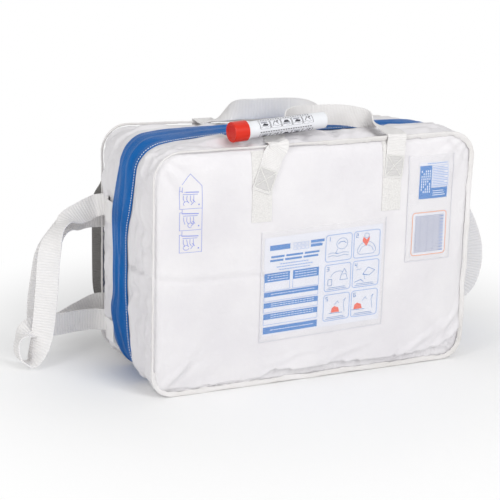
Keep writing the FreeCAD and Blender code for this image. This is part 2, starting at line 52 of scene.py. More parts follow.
# Sizes of the bag over its seams, in mm
HALF_LENGTH = 365.0
HALF_DEPTH = 159.0
HEIGHT = 516.0
MIDDLE_Z = HEIGHT / 2
WELT = 3.0
FOOT = 3.0
CROWN = 12.0
CROWN_REACH = 120.0
SEAT = 5.2
WEB_T = 2.2
GAP = 0.45
PATCH_T = 1.6
SEWN = WEB_T / 2 + GAP
OVER_PATCH = PATCH_T + SEWN
OUTSIDE = 200.0
PUSH_MOST = 9.0
ACROSS_X = Vector((1, 0, 0))
ACROSS_Z = Vector((0, 0, 1))

BODY = "valise"


def rgb(text):
    """Linear colour from a hex code."""
    parts = [int(text[i:i + 2], 16) / 255 for i in (1, 3, 5)]
    return tuple(p / 12.92 if p <= 0.04045 else ((p + 0.055) / 1.055) ** 2.4 for p in parts)


class ClothSettings(bpy.types.PropertyGroup):
    """Sizes and colours of the bag's cloth."""

    fabric: bpy.props.FloatVectorProperty(
        name="Fabric", description="Colour of the coated cloth", subtype="COLOR",
        default=rgb("#e7e5e7"), min=0, max=1)
    band: bpy.props.FloatVectorProperty(
        name="Band", description="Colour of the closure band", subtype="COLOR",
        default=rgb("#0065b2"), min=0, max=1)
    piping: bpy.props.FloatVectorProperty(
        name="Piping", description="Colour of the piped seams", subtype="COLOR",
        default=rgb("#e6e4e4"), min=0, max=1)
    folds: bpy.props.FloatProperty(
        name="Folds", description="How deep the cloth is folded", default=1.0, min=0, max=2,
        subtype="FACTOR")
    cell: bpy.props.FloatProperty(
        name="Cell", description="Mesh size of the cloth", default=0.0085, min=0.004, max=0.03,
        unit="LENGTH", subtype="DISTANCE")


class WebbingSettings(bpy.types.PropertyGroup):
    """Sizes and colours of the handles and loops."""

    white: bpy.props.FloatVectorProperty(
        name="White webbing", description="Colour of the handles and loops", subtype="COLOR",
        default=rgb("#f2f0ef"), min=0, max=1)
    # Painted shade: the rear straps get a mid grey that stands in for the deep shadow they lie in on the rear
    # panel.
    grey: bpy.props.FloatVectorProperty(
        name="Shade grey webbing", description="Colour of the rear straps", subtype="COLOR",
        default=rgb("#989693"), min=0, max=1)
    handle_width: bpy.props.FloatProperty(
        name="Handle width", description="Width of the carrying handles", default=0.045,
        min=0.02, max=0.08, unit="LENGTH", subtype="DISTANCE")
    loop_width: bpy.props.FloatProperty(
        name="Loop width", description="Width of the end loops and rear straps", default=0.050,
        min=0.02, max=0.08, unit="LENGTH", subtype="DISTANCE")


class PrintSettings(bpy.types.PropertyGroup):
    """Colours of the cards and prints."""

    blue: bpy.props.FloatVectorProperty(
        name="Blue", description="Blue of the printed cards", subtype="COLOR",
        default=rgb("#0076c4"), min=0, max=1)
    pale: bpy.props.FloatVectorProperty(
        name="Pale blue", description="Blue of the thin printed lines", subtype="COLOR",
        default=rgb("#79a4e2"), min=0, max=1)
    orange: bpy.props.FloatVectorProperty(
        name="Orange", description="Orange of the printed cards", subtype="COLOR",
        default=rgb("#ea4c14"), min=0, max=1)
    cap: bpy.props.FloatVectorProperty(
        name="Cap", description="Red of the tube's cap", subtype="COLOR",
        default=rgb("#d8260a"), min=0, max=1)


class StageSettings(bpy.types.PropertyGroup):
    """Light, floor and camera."""

    key: bpy.props.FloatProperty(
        name="Key light", description="Strength of the main lamp", default=26.0, min=0,
        max=500, unit="POWER")
    sky: bpy.props.FloatProperty(
        name="Sky", description="Strength of the even light all round", default=0.46, min=0, max=3)
    lens: bpy.props.FloatProperty(
        name="Lens", description="Focal length of the camera", default=109.806, min=20, max=300,
        unit="CAMERA")


GROUPS = (ClothSettings, WebbingSettings, PrintSettings, StageSettings)


# --- Mesh tools


def clear_selection():
    """Deselect everything."""
    if bpy.context.object and bpy.context.object.mode != "OBJECT":
        bpy.ops.object.mode_set(mode="OBJECT")
    bpy.ops.object.select_all(action="DESELECT")


def pick(obj):
    """Make obj the only selected and active object."""
    clear_selection()
    obj.select_set(True)
    bpy.context.view_layer.objects.active = obj
    return obj


def modify(obj, kind, **settings):
    """Add one modifier with its settings and apply it."""
    pick(obj)
    bpy.ops.object.modifier_add(type=kind)
    modifier = obj.modifiers[-1]
    for name, value in settings.items():
        setattr(modifier, name, value)
    bpy.ops.object.modifier_apply(modifier=modifier.name)
    return obj


def vertex_values(obj, name):
    """One vector of each vertex of obj, as an array."""
    flat = np.zeros(len(obj.data.vertices) * 3)
    obj.data.vertices.foreach_get(name, flat)
    return flat.reshape(-1, 3)


def places_of(obj):
    """Vertex places of obj as an array in mm."""
    return vertex_values(obj, "co") / MM


def set_places(obj, places):
    """Move the vertices of obj to places in mm."""
    obj.data.vertices.foreach_set("co", (np.asarray(places, float) * MM).ravel())
    obj.data.update()


def cloth_grid(name, along, across, place):
    """Grid of cells, each vertex put by place(share along, share across), in mm."""
    clear_selection()
    bpy.ops.mesh.primitive_grid_add(x_subdivisions=along, y_subdivisions=across, size=1,
                                    calc_uvs=True)
    obj = bpy.context.object
    obj.name = obj.data.name = name
    shares = places_of(obj) * MM + 0.5
    set_places(obj, [place(u, v) for u, v, _ in shares])
    return obj


def thicken(obj, thickness):
    """Give a sheet its thickness, in mm, with its faces outwards."""
    modify(obj, "SOLIDIFY", thickness=thickness * MM, offset=0)
    return outwards(obj)


def edit_all(obj, operator, **settings):
    """Run one edit-mode operator on the whole mesh."""
    pick(obj)
    bpy.ops.object.mode_set(mode="EDIT")
    bpy.ops.mesh.select_all(action="SELECT")
    operator(**settings)
    bpy.ops.object.mode_set(mode="OBJECT")
    return obj


def outwards(obj):
    """Turn all faces of a closed mesh outwards."""
    return edit_all(obj, bpy.ops.mesh.normals_make_consistent, inside=False)


def weld(obj, threshold):
    """Merge the vertices that lie nearer than threshold, in mm."""
    return edit_all(obj, bpy.ops.mesh.remove_doubles, threshold=threshold * MM)


def smooth(obj, angle=50):
    """Smooth shading up to an angle."""
    pick(obj)
    bpy.ops.object.shade_smooth_by_angle(angle=math.radians(angle))
    return obj


def node_copy(node, name):
    """Own mesh of a CAD node, with its loose triangles merged."""
    pick(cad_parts[node])
    bpy.ops.object.duplicate(linked=False)
    obj = bpy.context.object
    for key in [k for k in obj.keys() if k.startswith("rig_")]:
        del obj[key]
    obj.parent = None
    obj.name = obj.data.name = name
    return weld(obj, 0.01)


def shapes_object(name, faces_list):
    """One mesh from lists of (corner places in mm) polygons."""
    clear_selection()
    bpy.ops.mesh.primitive_plane_add(size=MM)
    obj = bpy.context.object
    obj.name = obj.data.name = name
    shape = bmesh.new()
    for corners in faces_list:
        shape.faces.new([shape.verts.new(Vector(c) * MM) for c in corners])
    bmesh.ops.remove_doubles(shape, verts=shape.verts, dist=0.02 * MM)
    shape.to_mesh(obj.data)
    shape.free()
    return obj


def put(obj, finish, replaces=(), body=BODY, angle=50):
    """Shade a finished piece, give it its finish and let it ride on its body."""
    smooth(obj, angle)
    obj.data.materials.clear()
    obj.data.materials.append(finish)
    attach(obj, body)
    if replaces:
        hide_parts(*replaces)
    return obj


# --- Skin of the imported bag, which everything sewn on it follows

SKIN = {}


def keep_skin(obj):
    """Remember the bag's final skin for the pieces that lie on it."""
    pick(obj)
    places = [Vector(p) for p in places_of(obj)]
    faces = [tuple(face.vertices) for face in obj.data.polygons]
    SKIN["tree"] = BVHTree.FromPolygons(places, faces)


def hit(start, direction):
    """Place and normal where a ray first meets the bag, in mm."""
    direction = Vector(direction).normalized()
    place, normal = SKIN["tree"].ray_cast(Vector(start), direction)[:2]
    if place is None:
        raise RuntimeError(f"no cloth from {tuple(start)} along {tuple(direction)}")
    return place, normal


def panel_hit(side, x, z):
    """Place and normal on the front (-1) or rear (1) panel."""
    return hit((x, side * 2 * OUTSIDE, z), (0, -side, 0))


def seam_top(side, x):
    """Height of a panel's top seam at x."""
    if side < 0:
        return HEIGHT
    return HEIGHT - 8 - (x + HALF_LENGTH) / (2 * HALF_LENGTH) * 18


def ring_top(side, x, reach):
    """Height at which the crown bends, above x."""
    return seam_top(side, x) - SEAT - reach * CROWN_REACH


def ring_foot(reach):
    """Height at which the crown bends, near the floor."""
    return FOOT + SEAT + reach * CROWN_REACH


def clear_of_skin(obj, lift, reach=25.0):
    """Push the vertices that lie in or too near the bag out to lift, in mm."""
    places = places_of(obj)
    for index, spot in enumerate(places):
        near, normal = SKIN["tree"].find_nearest(Vector(spot), reach)[:2]
        if near is None:
            continue
        away = Vector(spot) - near
        height = away.dot(normal)
        if height > 0:
            height = away.length
        if height < lift:
            places[index] = Vector(spot) + normal * min(lift - height, PUSH_MOST)
    set_places(obj, places)


def rough(*values):
    """Smooth noise from -1 to 1."""
    return noise.noise(Vector((values + (0, 0, 0))[:3]))


def fade(value, low, high):
    """Smooth step from 0 at low to 1 at high."""
    share = np.clip((np.asarray(value, float) - low) / (high - low), 0, 1)
    return share * share * (3 - 2 * share)


# --- Finishes


def node_group(name, inputs, outputs, build):
    """Shader node group with named inputs and outputs."""
    found = bpy.data.node_groups.get(name)
    if found:
        return found
    group = bpy.data.node_groups.new(name, "ShaderNodeTree")
    for label, kind, value in inputs:
        socket = group.interface.new_socket(label, in_out="INPUT", socket_type=kind)
        if value is not None:
            socket.default_value = value
    for label, kind in outputs:
        group.interface.new_socket(label, in_out="OUTPUT", socket_type=kind)
    build(group.nodes, group.links, group.nodes.new("NodeGroupInput"),
          group.nodes.new("NodeGroupOutput"))
    return group


def math_node(nodes, links, operation, first, second=None, third=None):
    """Math node fed by sockets or numbers; gives its output."""
    node = nodes.new("ShaderNodeMath")
    node.operation = operation
    for socket, value in zip(node.inputs, (first, second, third)):
        if value is None:
            continue
        if isinstance(value, (int, float)):
            socket.default_value = value
        else:
            links.new(value, socket)
    return node.outputs[0]


def weave_group():
    """Fine plain weave: height and a mask of its gaps."""
    def build(nodes, links, inside, outside):
        split = nodes.new("ShaderNodeSeparateXYZ")
        links.new(inside.outputs["Vector"], split.inputs[0])
        waves = []
        for axis in ("X", "Y", "Z"):
            turn = math_node(nodes, links, "MULTIPLY", split.outputs[axis], inside.outputs["Threads"])
            waves.append(math_node(nodes, links, "SINE", turn))
        pair = math_node(nodes, links, "MULTIPLY", waves[0], waves[2])
        other = math_node(nodes, links, "MULTIPLY", waves[1], math_node(
            nodes, links, "ADD", waves[0], waves[2]))
        total = math_node(nodes, links, "ADD", pair, other)
        links.new(math_node(nodes, links, "MULTIPLY_ADD", total, 0.25, 0.5), outside.inputs["Height"])
    return node_group("Plain weave", [("Vector", "NodeSocketVector", None),
                                      ("Threads", "NodeSocketFloat", 4000.0)],
                      [("Height", "NodeSocketFloat")], build)


def soil_group():
    """Soft uneven tint: a clean colour that greys in broad clouds and fine specks."""
    def build(nodes, links, inside, outside):
        clouds = nodes.new("ShaderNodeTexNoise")
        clouds.inputs["Detail"].default_value = 4
        links.new(inside.outputs["Vector"], clouds.inputs["Vector"])
        links.new(inside.outputs["Scale"], clouds.inputs["Scale"])
        spread = nodes.new("ShaderNodeMapRange")
        spread.inputs["From Min"].default_value = 0.35
        spread.inputs["From Max"].default_value = 0.75
        links.new(clouds.outputs["Fac"], spread.inputs["Value"])
        share = math_node(nodes, links, "MULTIPLY", spread.outputs["Result"], inside.outputs["Amount"])
        mix = nodes.new("ShaderNodeMix")
        mix.data_type = "RGBA"
        links.new(share, mix.inputs["Factor"])
        links.new(inside.outputs["Clean"], mix.inputs["A"])
        links.new(inside.outputs["Soiled"], mix.inputs["B"])
        links.new(mix.outputs["Result"], outside.inputs["Color"])
    return node_group("Soft soil", [("Vector", "NodeSocketVector", None),
                                    ("Scale", "NodeSocketFloat", 9.0),
                                    ("Amount", "NodeSocketFloat", 0.5),
                                    ("Clean", "NodeSocketColor", (1, 1, 1, 1)),
                                    ("Soiled", "NodeSocketColor", (0.8, 0.8, 0.8, 1))],
                      [("Color", "NodeSocketColor")], build)


# Stitched box at each end of a strap, in m
BOX_MIDDLE = 0.0262
BOX_HALF = 0.0215
BOX_CORNER = 0.0222
BOX_INSET = 0.0028
THREAD_REACH = 0.0011
GROOVE_REACH = 0.003


def webbing_group():
    """Woven strap on its own UV map in metres: cross ribs and a stitched box at each end."""
    def build(nodes, links, inside, outside):
        split = nodes.new("ShaderNodeSeparateXYZ")
        links.new(inside.outputs["Vector"], split.inputs[0])
        along, across = split.outputs["X"], split.outputs["Y"]

        def do(operation, *values):
            return math_node(nodes, links, operation, *values)

        ribs = do("SINE", do("MULTIPLY", along, inside.outputs["Ribs"]))
        fine = do("SINE", do("MULTIPLY", across, 4200.0))
        half = do("MULTIPLY", inside.outputs["Width"], 0.5)
        off = do("ABSOLUTE", do("SUBTRACT", across, half))
        box_half = do("SUBTRACT", half, BOX_INSET)
        reach = do("ABSOLUTE", do("SUBTRACT", along, BOX_MIDDLE))
        inside_box = do("MULTIPLY", do("LESS_THAN", reach, BOX_HALF), do("LESS_THAN", off, box_half))
        side = do("ABSOLUTE", do("SUBTRACT", off, box_half))
        side = do("ADD", side, do("GREATER_THAN", reach, BOX_CORNER))
        ends = do("ABSOLUTE", do("SUBTRACT", reach, BOX_HALF))
        ends = do("ADD", ends, do("GREATER_THAN", off, box_half))
        slope = do("DIVIDE", box_half, BOX_HALF)
        cross = do("MULTIPLY", do("ABSOLUTE", do("SUBTRACT", off, do("MULTIPLY", reach, slope))), 0.72)
        cross = do("ADD", cross, do("SUBTRACT", 1.0, inside_box))
        nearest = do("MINIMUM", do("MINIMUM", side, ends), cross)
        thread = do("LESS_THAN", nearest, THREAD_REACH)
        dashes = do("GREATER_THAN", do("SINE", do("MULTIPLY", do("ADD", along, across), 2200.0)), -0.55)
        thread = do("MULTIPLY", thread, dashes)
        groove = do("SUBTRACT", 1.0, do("MINIMUM", 1.0, do("DIVIDE", nearest, GROOVE_REACH)))
        links.new(thread, outside.inputs["Thread"])
        links.new(groove, outside.inputs["Groove"])
        links.new(inside_box, outside.inputs["Field"])
        links.new(do("MULTIPLY_ADD", ribs, 0.5, 0.5), outside.inputs["Ribs"])
        height = do("ADD", do("MULTIPLY", ribs, 0.6), do("MULTIPLY", fine, 0.2))
        height = do("SUBTRACT", height, do("MULTIPLY", groove, 0.8))
        links.new(do("ADD", height, thread), outside.inputs["Height"])
    return node_group("Woven strap", [("Vector", "NodeSocketVector", None),
                                      ("Width", "NodeSocketFloat", 0.05),
                                      ("Ribs", "NodeSocketFloat", 1900.0)],
                      [("Height", "NodeSocketFloat"), ("Ribs", "NodeSocketFloat"),
                       ("Thread", "NodeSocketFloat"), ("Groove", "NodeSocketFloat"),
                       ("Field", "NodeSocketFloat")], build)


def plain(name, color, roughness=0.5, **sockets):
    """Material with its uniform values set on the shader's own sockets."""
    material = bpy.data.materials.new(name)
    material.use_nodes = True
    nodes, links = material.node_tree.nodes, material.node_tree.links
    shader = nodes["Principled BSDF"]
    shader.inputs["Base Color"].default_value = (*color, 1)
    shader.inputs["Roughness"].default_value = roughness
    for label, value in sockets.items():
        shader.inputs[label.replace("_", " ")].default_value = value
    material.diffuse_color = (*color, 1)
    return material, nodes, links, shader


def bump(nodes, links, shader, height, distance, strength=1.0, normal=None):
    """Bump node that feeds the shader's normal; gives its output."""
    node = nodes.new("ShaderNodeBump")
    node.inputs["Distance"].default_value = distance
    node.inputs["Strength"].default_value = strength
    links.new(height, node.inputs["Height"])
    if normal is not None:
        links.new(normal, node.inputs["Normal"])
    links.new(node.outputs["Normal"], shader.inputs["Normal"])
    return node.outputs["Normal"]


def noise_node(nodes, links, vector, scale, detail=3.0, roughness=0.5):
    """Noise texture on a vector; gives its factor."""
    node = nodes.new("ShaderNodeTexNoise")
    node.inputs["Scale"].default_value = scale
    node.inputs["Detail"].default_value = detail
    node.inputs["Roughness"].default_value = roughness
    links.new(vector, node.inputs["Vector"])
    return node.outputs["Fac"]


def object_vector(nodes):
    """Place in the object's own coordinates."""
    return nodes.new("ShaderNodeTexCoord").outputs["Object"]


def soiled(nodes, links, shader, vector, clean, dirty, scale, amount):
    """Feed the base colour with the soft soil group."""
    node = nodes.new("ShaderNodeGroup")
    node.node_tree = soil_group()
    node.inputs["Scale"].default_value = scale
    node.inputs["Amount"].default_value = amount
    node.inputs["Clean"].default_value = (*clean, 1)
    node.inputs["Soiled"].default_value = (*dirty, 1)
    links.new(vector, node.inputs["Vector"])
    links.new(node.outputs["Color"], shader.inputs["Base Color"])
    return node.outputs["Color"]


def coated_cloth(name, color, roughness, threads, dirty, wrinkle, amount=0.6):
    """Coated woven cloth: weave, fine wrinkles and an uneven tint."""
    material, nodes, links, shader = plain(name, color, roughness)
    vector = object_vector(nodes)
    soiled(nodes, links, shader, vector, color, dirty, 7.0, amount)
    weave = nodes.new("ShaderNodeGroup")
    weave.node_tree = weave_group()
    weave.inputs["Threads"].default_value = threads
    links.new(vector, weave.inputs["Vector"])
    creases = noise_node(nodes, links, vector, 34.0, 5.0, 0.55)
    first = bump(nodes, links, shader, creases, wrinkle, 0.8)
    bump(nodes, links, shader, weave.outputs["Height"], 0.00022, 0.8, first)
    gloss = nodes.new("ShaderNodeMapRange")
    gloss.inputs["To Min"].default_value = roughness - 0.08
    gloss.inputs["To Max"].default_value = roughness + 0.1
    links.new(creases, gloss.inputs["Value"])
    links.new(gloss.outputs["Result"], shader.inputs["Roughness"])
    return material


def woven(name, color, width, ribs=1900.0, stripe=None, stitched=True):
    """Webbing on its own UV map."""
    material, nodes, links, shader = plain(name, color, 0.7)
    uv = nodes.new("ShaderNodeTexCoord").outputs["UV"]
    vector = object_vector(nodes)
    strap = nodes.new("ShaderNodeGroup")
    strap.node_tree = webbing_group()
    strap.inputs["Width"].default_value = width
    strap.inputs["Ribs"].default_value = ribs
    links.new(uv, strap.inputs["Vector"])
    tint = soiled(nodes, links, shader, vector, color, tuple(c * 0.9 for c in color), 24.0, 0.5)

    def blend(factor, share, first, second):
        mix = nodes.new("ShaderNodeMix")
        mix.data_type = "RGBA"
        links.new(math_node(nodes, links, "MULTIPLY", factor, share), mix.inputs["Factor"])
        links.new(first, mix.inputs["A"])
        mix.inputs["B"].default_value = (*second, 1)
        return mix.outputs["Result"]

    # Painted shade in the rib valleys: the colour darkens to 0.66 where the ribs dip.
    valley = math_node(nodes, links, "POWER", math_node(
        nodes, links, "SUBTRACT", 1.0, strap.outputs["Ribs"]), 4.0)
    tint = blend(valley, 0.3 if stitched else 0.2, tint, tuple(c * 0.66 for c in color))
    if stitched:
        # Painted shade over the stitched box: its field is darkened to 0.74 of the colour.
        tint = blend(strap.outputs["Field"], 0.85, tint, tuple(c * 0.74 for c in color))
        # Painted shade along the stitch grooves, darkened to 0.6 of the colour.
        tint = blend(strap.outputs["Groove"], 0.3, tint, tuple(c * 0.6 for c in color))
        tint = blend(strap.outputs["Thread"], 1.0, tint, rgb("#faf9f5"))
    if stripe:
        split = nodes.new("ShaderNodeSeparateXYZ")
        links.new(uv, split.inputs[0])
        off = math_node(nodes, links, "ABSOLUTE", math_node(
            nodes, links, "SUBTRACT", split.outputs["Y"], width * 0.5))
        tint = blend(math_node(nodes, links, "LESS_THAN", off, 0.0035), 1.0, tint, stripe)
    links.new(tint, shader.inputs["Base Color"])
    bump(nodes, links, shader, strap.outputs["Height" if stitched else "Ribs"], 0.0006, 0.9)
    return material


def fuzzy(name, color):
    """Brushed hook and loop tape."""
    material, nodes, links, shader = plain(name, color, 0.95, Sheen_Weight=0.25)
    vector = object_vector(nodes)
    soiled(nodes, links, shader, vector, color, tuple(c * 0.78 for c in color), 320.0, 0.7)
    pile = noise_node(nodes, links, vector, 420.0, 4.0, 0.7)
    bump(nodes, links, shader, pile, 0.0026, 1.0)
    return material


def moulded(name, color, roughness, grain=900.0, depth=0.00008, **sockets):
    """Moulded plastic with a faint grain."""
    material, nodes, links, shader = plain(name, color, roughness, **sockets)
    vector = object_vector(nodes)
    soiled(nodes, links, shader, vector, color, tuple(c * 0.88 for c in color), 40.0, 0.5)
    bump(nodes, links, shader, noise_node(nodes, links, vector, grain, 2.0), depth, 0.6)
    return material


def paper(name, color, roughness=0.55, dirty=0.93):
    """Printed card stock."""
    material, nodes, links, shader = plain(name, color, roughness)
    vector = object_vector(nodes)
    soiled(nodes, links, shader, vector, color, tuple(c * dirty for c in color), 30.0, 0.6)
    bump(nodes, links, shader, noise_node(nodes, links, vector, 60.0, 4.0), 0.0006, 0.5)
    return material


def clear_film(name):
    """Clear flexible film, a little hazy, with soft waves."""
    material, nodes, links, shader = plain(name, (0.93, 0.93, 0.95), 0.2, Alpha=0.09,
                                           Specular_IOR_Level=0.4)
    vector = object_vector(nodes)
    bump(nodes, links, shader, noise_node(nodes, links, vector, 18.0, 3.0), 0.004, 0.7)
    return material


# --- Straps


def curve_place(before, start, end, after, share):
    """Place on a smooth curve from start to end."""
    first = (end - before) * share
    second = (before * 2 - start * 5 + end * 4 - after) * share ** 2
    third = (start * 3 - before - end * 3 + after) * share ** 3
    return (start * 2 + first + second + third) * 0.5


def resample(values, spans):
    """Smoothly subdivided list of vectors."""
    padded = [values[0] * 2 - values[1]] + values + [values[-1] * 2 - values[-2]]
    dense = []
    for index in range(len(values) - 1):
        for step in range(spans):
            dense.append(curve_place(*padded[index:index + 4], step / spans))
    return dense + [values[-1]]


def ribbon(name, route, width, finish, spans=8, cells=8, lift=1.5, replaces=()):
    """Strap along a route of (centre, width direction), in mm, clear of the bag."""
    centres = resample([Vector(place) for place, across in route], spans)
    acrosses = resample([Vector(across).normalized() for place, across in route], spans)
    frames = []
    travelled = [0.0]
    for index, centre in enumerate(centres):
        ahead = centres[min(index + 1, len(centres) - 1)]
        behind = centres[max(index - 1, 0)]
        along = (ahead - behind).normalized()
        across = acrosses[index] - along * acrosses[index].dot(along)
        frames.append((centre, across.normalized(), along.cross(across).normalized()))
        if index:
            travelled.append(travelled[-1] + (centre - centres[index - 1]).length)
    steps = len(centres) - 1

    def place(u, v):
        centre, across, face = frames[round(u * steps)]
        side = v - 0.5
        sag = rough(centre.x / 30, centre.y / 30, centre.z / 30) * 0.5
        cup = (1 - 4 * side * side) * 0.5
        return centre + across * (side * width) + face * (sag + cup)

    obj = cloth_grid(name, steps, cells, place)
    uv = obj.data.uv_layers.active.data
    total = travelled[-1]
    for loop in uv:
        along = travelled[round(loop.uv[0] * steps)]
        loop.uv = (min(along, total - along) * MM, loop.uv[1] * width * MM)
    clear_of_skin(obj, lift)
    modify(obj, "SMOOTH", factor=0.4, iterations=2)
    thicken(obj, WEB_T)
    modify(obj, "BEVEL", width=0.6 * MM, segments=2, limit_method="ANGLE")
    put(obj, finish, replaces)
    return obj


def laid_on_panel(side, x, z, lift, lean=0.0):
    """Strap place on a panel; lean turns its width from level, in degrees."""
    turn = math.radians(lean)
    half = 22.5
    middle, normal = panel_hit(side, x, z)
    ends = [panel_hit(side, x + s * half * math.cos(turn), z + s * half * math.sin(turn))[0]
            for s in (-1, 1)]
    return middle + normal * lift, (ends[1] - ends[0]).normalized()


def laid_on_end(side, y, z, lift):
    """Strap place on an end of the bag."""
    return hit((side * (HALF_LENGTH + OUTSIDE), y, z), (-side, 0, 0))[0] + Vector((side * lift, 0, 0))


def laid_on_top(x, y, lift):
    """Strap place on top of the bag."""
    return hit((x, y, HEIGHT + OUTSIDE), (0, 0, -1))[0] + Vector((0, 0, lift))


def over_seam(side, x, across):
    """Three places of a strap that bends over the piping."""
    top = seam_top(side, x)
    reach = WELT + WEB_T / 2 + 1.6
    tilt = seam_top(side, x + 1) - top
    across = Vector(across) + Vector((0, 0, tilt * across[0]))
    return [
        (Vector((x, side * (HALF_DEPTH + reach), top - WELT)), across),
        (Vector((x, side * (HALF_DEPTH + 0.75 * reach), top + 0.75 * reach)), across),
        (Vector((x, side * (HALF_DEPTH - WELT), top + reach)), across),
    ]


def turned_over(places):
    """The same places with their width directions reversed."""
    return [(place, -across) for place, across in places]


def beside(side, out, from_seam, z):
    """Place beside an end of the bag: out from it, forward of the rear seam, and up."""
    return Vector((side * (HALF_LENGTH + out), HALF_DEPTH - from_seam, z))


# --- Print


def bar(x, z, width, height, cell=9.0):
    """Filled rectangle as small cells."""
    columns = max(1, math.ceil(width / cell))
    rows = max(1, math.ceil(height / cell))
    faces = []
    for i in range(columns):
        for j in range(rows):
            a, b = x + width * i / columns, x + width * (i + 1) / columns
            c, d = z + height * j / rows, z + height * (j + 1) / rows
            faces.append([(a, c), (b, c), (b, d), (a, d)])
    return faces


def stroke(points, width, closed=False):
    """Line of even width through points, with short cells."""
    path = list(points) + ([points[0]] if closed else [])
    faces = []
    for (x0, z0), (x1, z1) in zip(path, path[1:]):
        length = math.hypot(x1 - x0, z1 - z0)
        if length < 0.01:
            continue
        ux, uz = (x1 - x0) / length, (z1 - z0) / length
        nx, nz = -uz * width / 2, ux * width / 2
        ex, ez = ux * width / 2, uz * width / 2
        x0, z0, x1, z1 = x0 - ex, z0 - ez, x1 + ex, z1 + ez
        cells = max(1, math.ceil(length / 9))
        for step in range(cells):
            a, b = step / cells, (step + 1) / cells
            p = (x0 + (x1 - x0) * a, z0 + (z1 - z0) * a)
            q = (x0 + (x1 - x0) * b, z0 + (z1 - z0) * b)
            faces.append([(p[0] - nx, p[1] - nz), (q[0] - nx, q[1] - nz),
                          (q[0] + nx, q[1] + nz), (p[0] + nx, p[1] + nz)])
    return faces


def arc_points(x, z, rx, rz, start, end, steps=14):
    """Points on an arc, angles in degrees."""
    return [(x + rx * math.cos(math.radians(start + (end - start) * k / steps)),
             z + rz * math.sin(math.radians(start + (end - start) * k / steps)))
            for k in range(steps + 1)]


def blob(points):
    """Filled convex outline as a fan of triangles."""
    cx = sum(p[0] for p in points) / len(points)
    cz = sum(p[1] for p in points) / len(points)
    return [[(cx, cz), a, b] for a, b in zip(points, points[1:] + points[:1])]


def disc(x, z, rx, rz=None):
    """Filled disc."""
    return blob(arc_points(x, z, rx, rz or rx, 0, 360, 18)[:-1])


def rounded(x, z, width, height, radius):
    """Outline of a rounded rectangle."""
    points = []
    for cx, cz, start in ((x + width - radius, z + radius, -90), (x + width - radius, z + height - radius, 0),
                          (x + radius, z + height - radius, 90), (x + radius, z + radius, 180)):
        points += arc_points(cx, cz, radius, radius, start, start + 90, 4)
    return points


def shifted(x, z, *points):
    """Points moved by (x, z)."""
    return [(x + across, z + up) for across, up in points]


def digit(number, x, z, height):
    """Plain step number drawn from straight strokes."""
    width = height * 0.55
    spots = {"a": [(0, 2), (1, 2)], "b": [(1, 2), (1, 1)], "c": [(1, 1), (1, 0)],
             "d": [(0, 0), (1, 0)], "e": [(0, 1), (0, 0)], "f": [(0, 2), (0, 1)], "g": [(0, 1), (1, 1)]}
    parts = {1: "bc", 2: "abged", 3: "abgcd", 4: "fgbc", 5: "afgcd", 6: "afgedc"}[number]
    faces = []
    for part in parts:
        ends = [(x + i * width, z + j * height / 2) for i, j in spots[part]]
        faces += stroke(ends, height * 0.14)
    return faces


def printed(name, faces, place, finish, thickness=0.12):
    """Thin printed field: flat faces laid by place(x, z)."""
    obj = shapes_object(name, [[place(x, z) for x, z in face] for face in faces])
    thicken(obj, thickness)
    return put(obj, finish)


SKEW_CENTRE = 14.0


def on_front(lift, skew=0.0):
    """Place function of the front panel: x and z in mm, lifted off the cloth."""
    def place(x, z):
        spot, normal = panel_hit(-1, x, z + skew * (x - SKEW_CENTRE))
        return spot + normal * lift
    return place


def panel_sheet(name, side, x, z, width, height, lift, thickness, finish, slot, replaces=(),
                cell=6.0, wave=0.0, skew=0.0):
    """Sheet that lies on a panel, from its lower left corner, in mm."""
    columns, rows = round(width / cell), round(height / cell)

    def place(u, v):
        px, pz = x + u * width, z + v * height + skew * (x + u * width - SKEW_CENTRE)
        spot, normal = panel_hit(side, px, pz)
        swell = wave * (rough(px / 40, pz / 40, 3.7) + 0.6) * min(u, 1 - u, v, 1 - v, 0.12) / 0.12
        return spot + normal * (lift + max(swell, 0))

    obj = cloth_grid(name, columns, rows, place)
    thicken(obj, thickness)
    put(obj, finish, replaces)
    return obj


# --- Pieces


CREASE = ((-365, 16), (-339, 20), (-264, 17), (-197, 18), (-124, 19), (-94, 34), (-36, 28), (59, 31),
          (157, 28), (257, 31), (307, 37), (344, 58), (366, 90))


def ridged(value):
    """Sharp-crested folds from smooth noise, -1 to 1."""
    return 1 - 4 * abs(value)


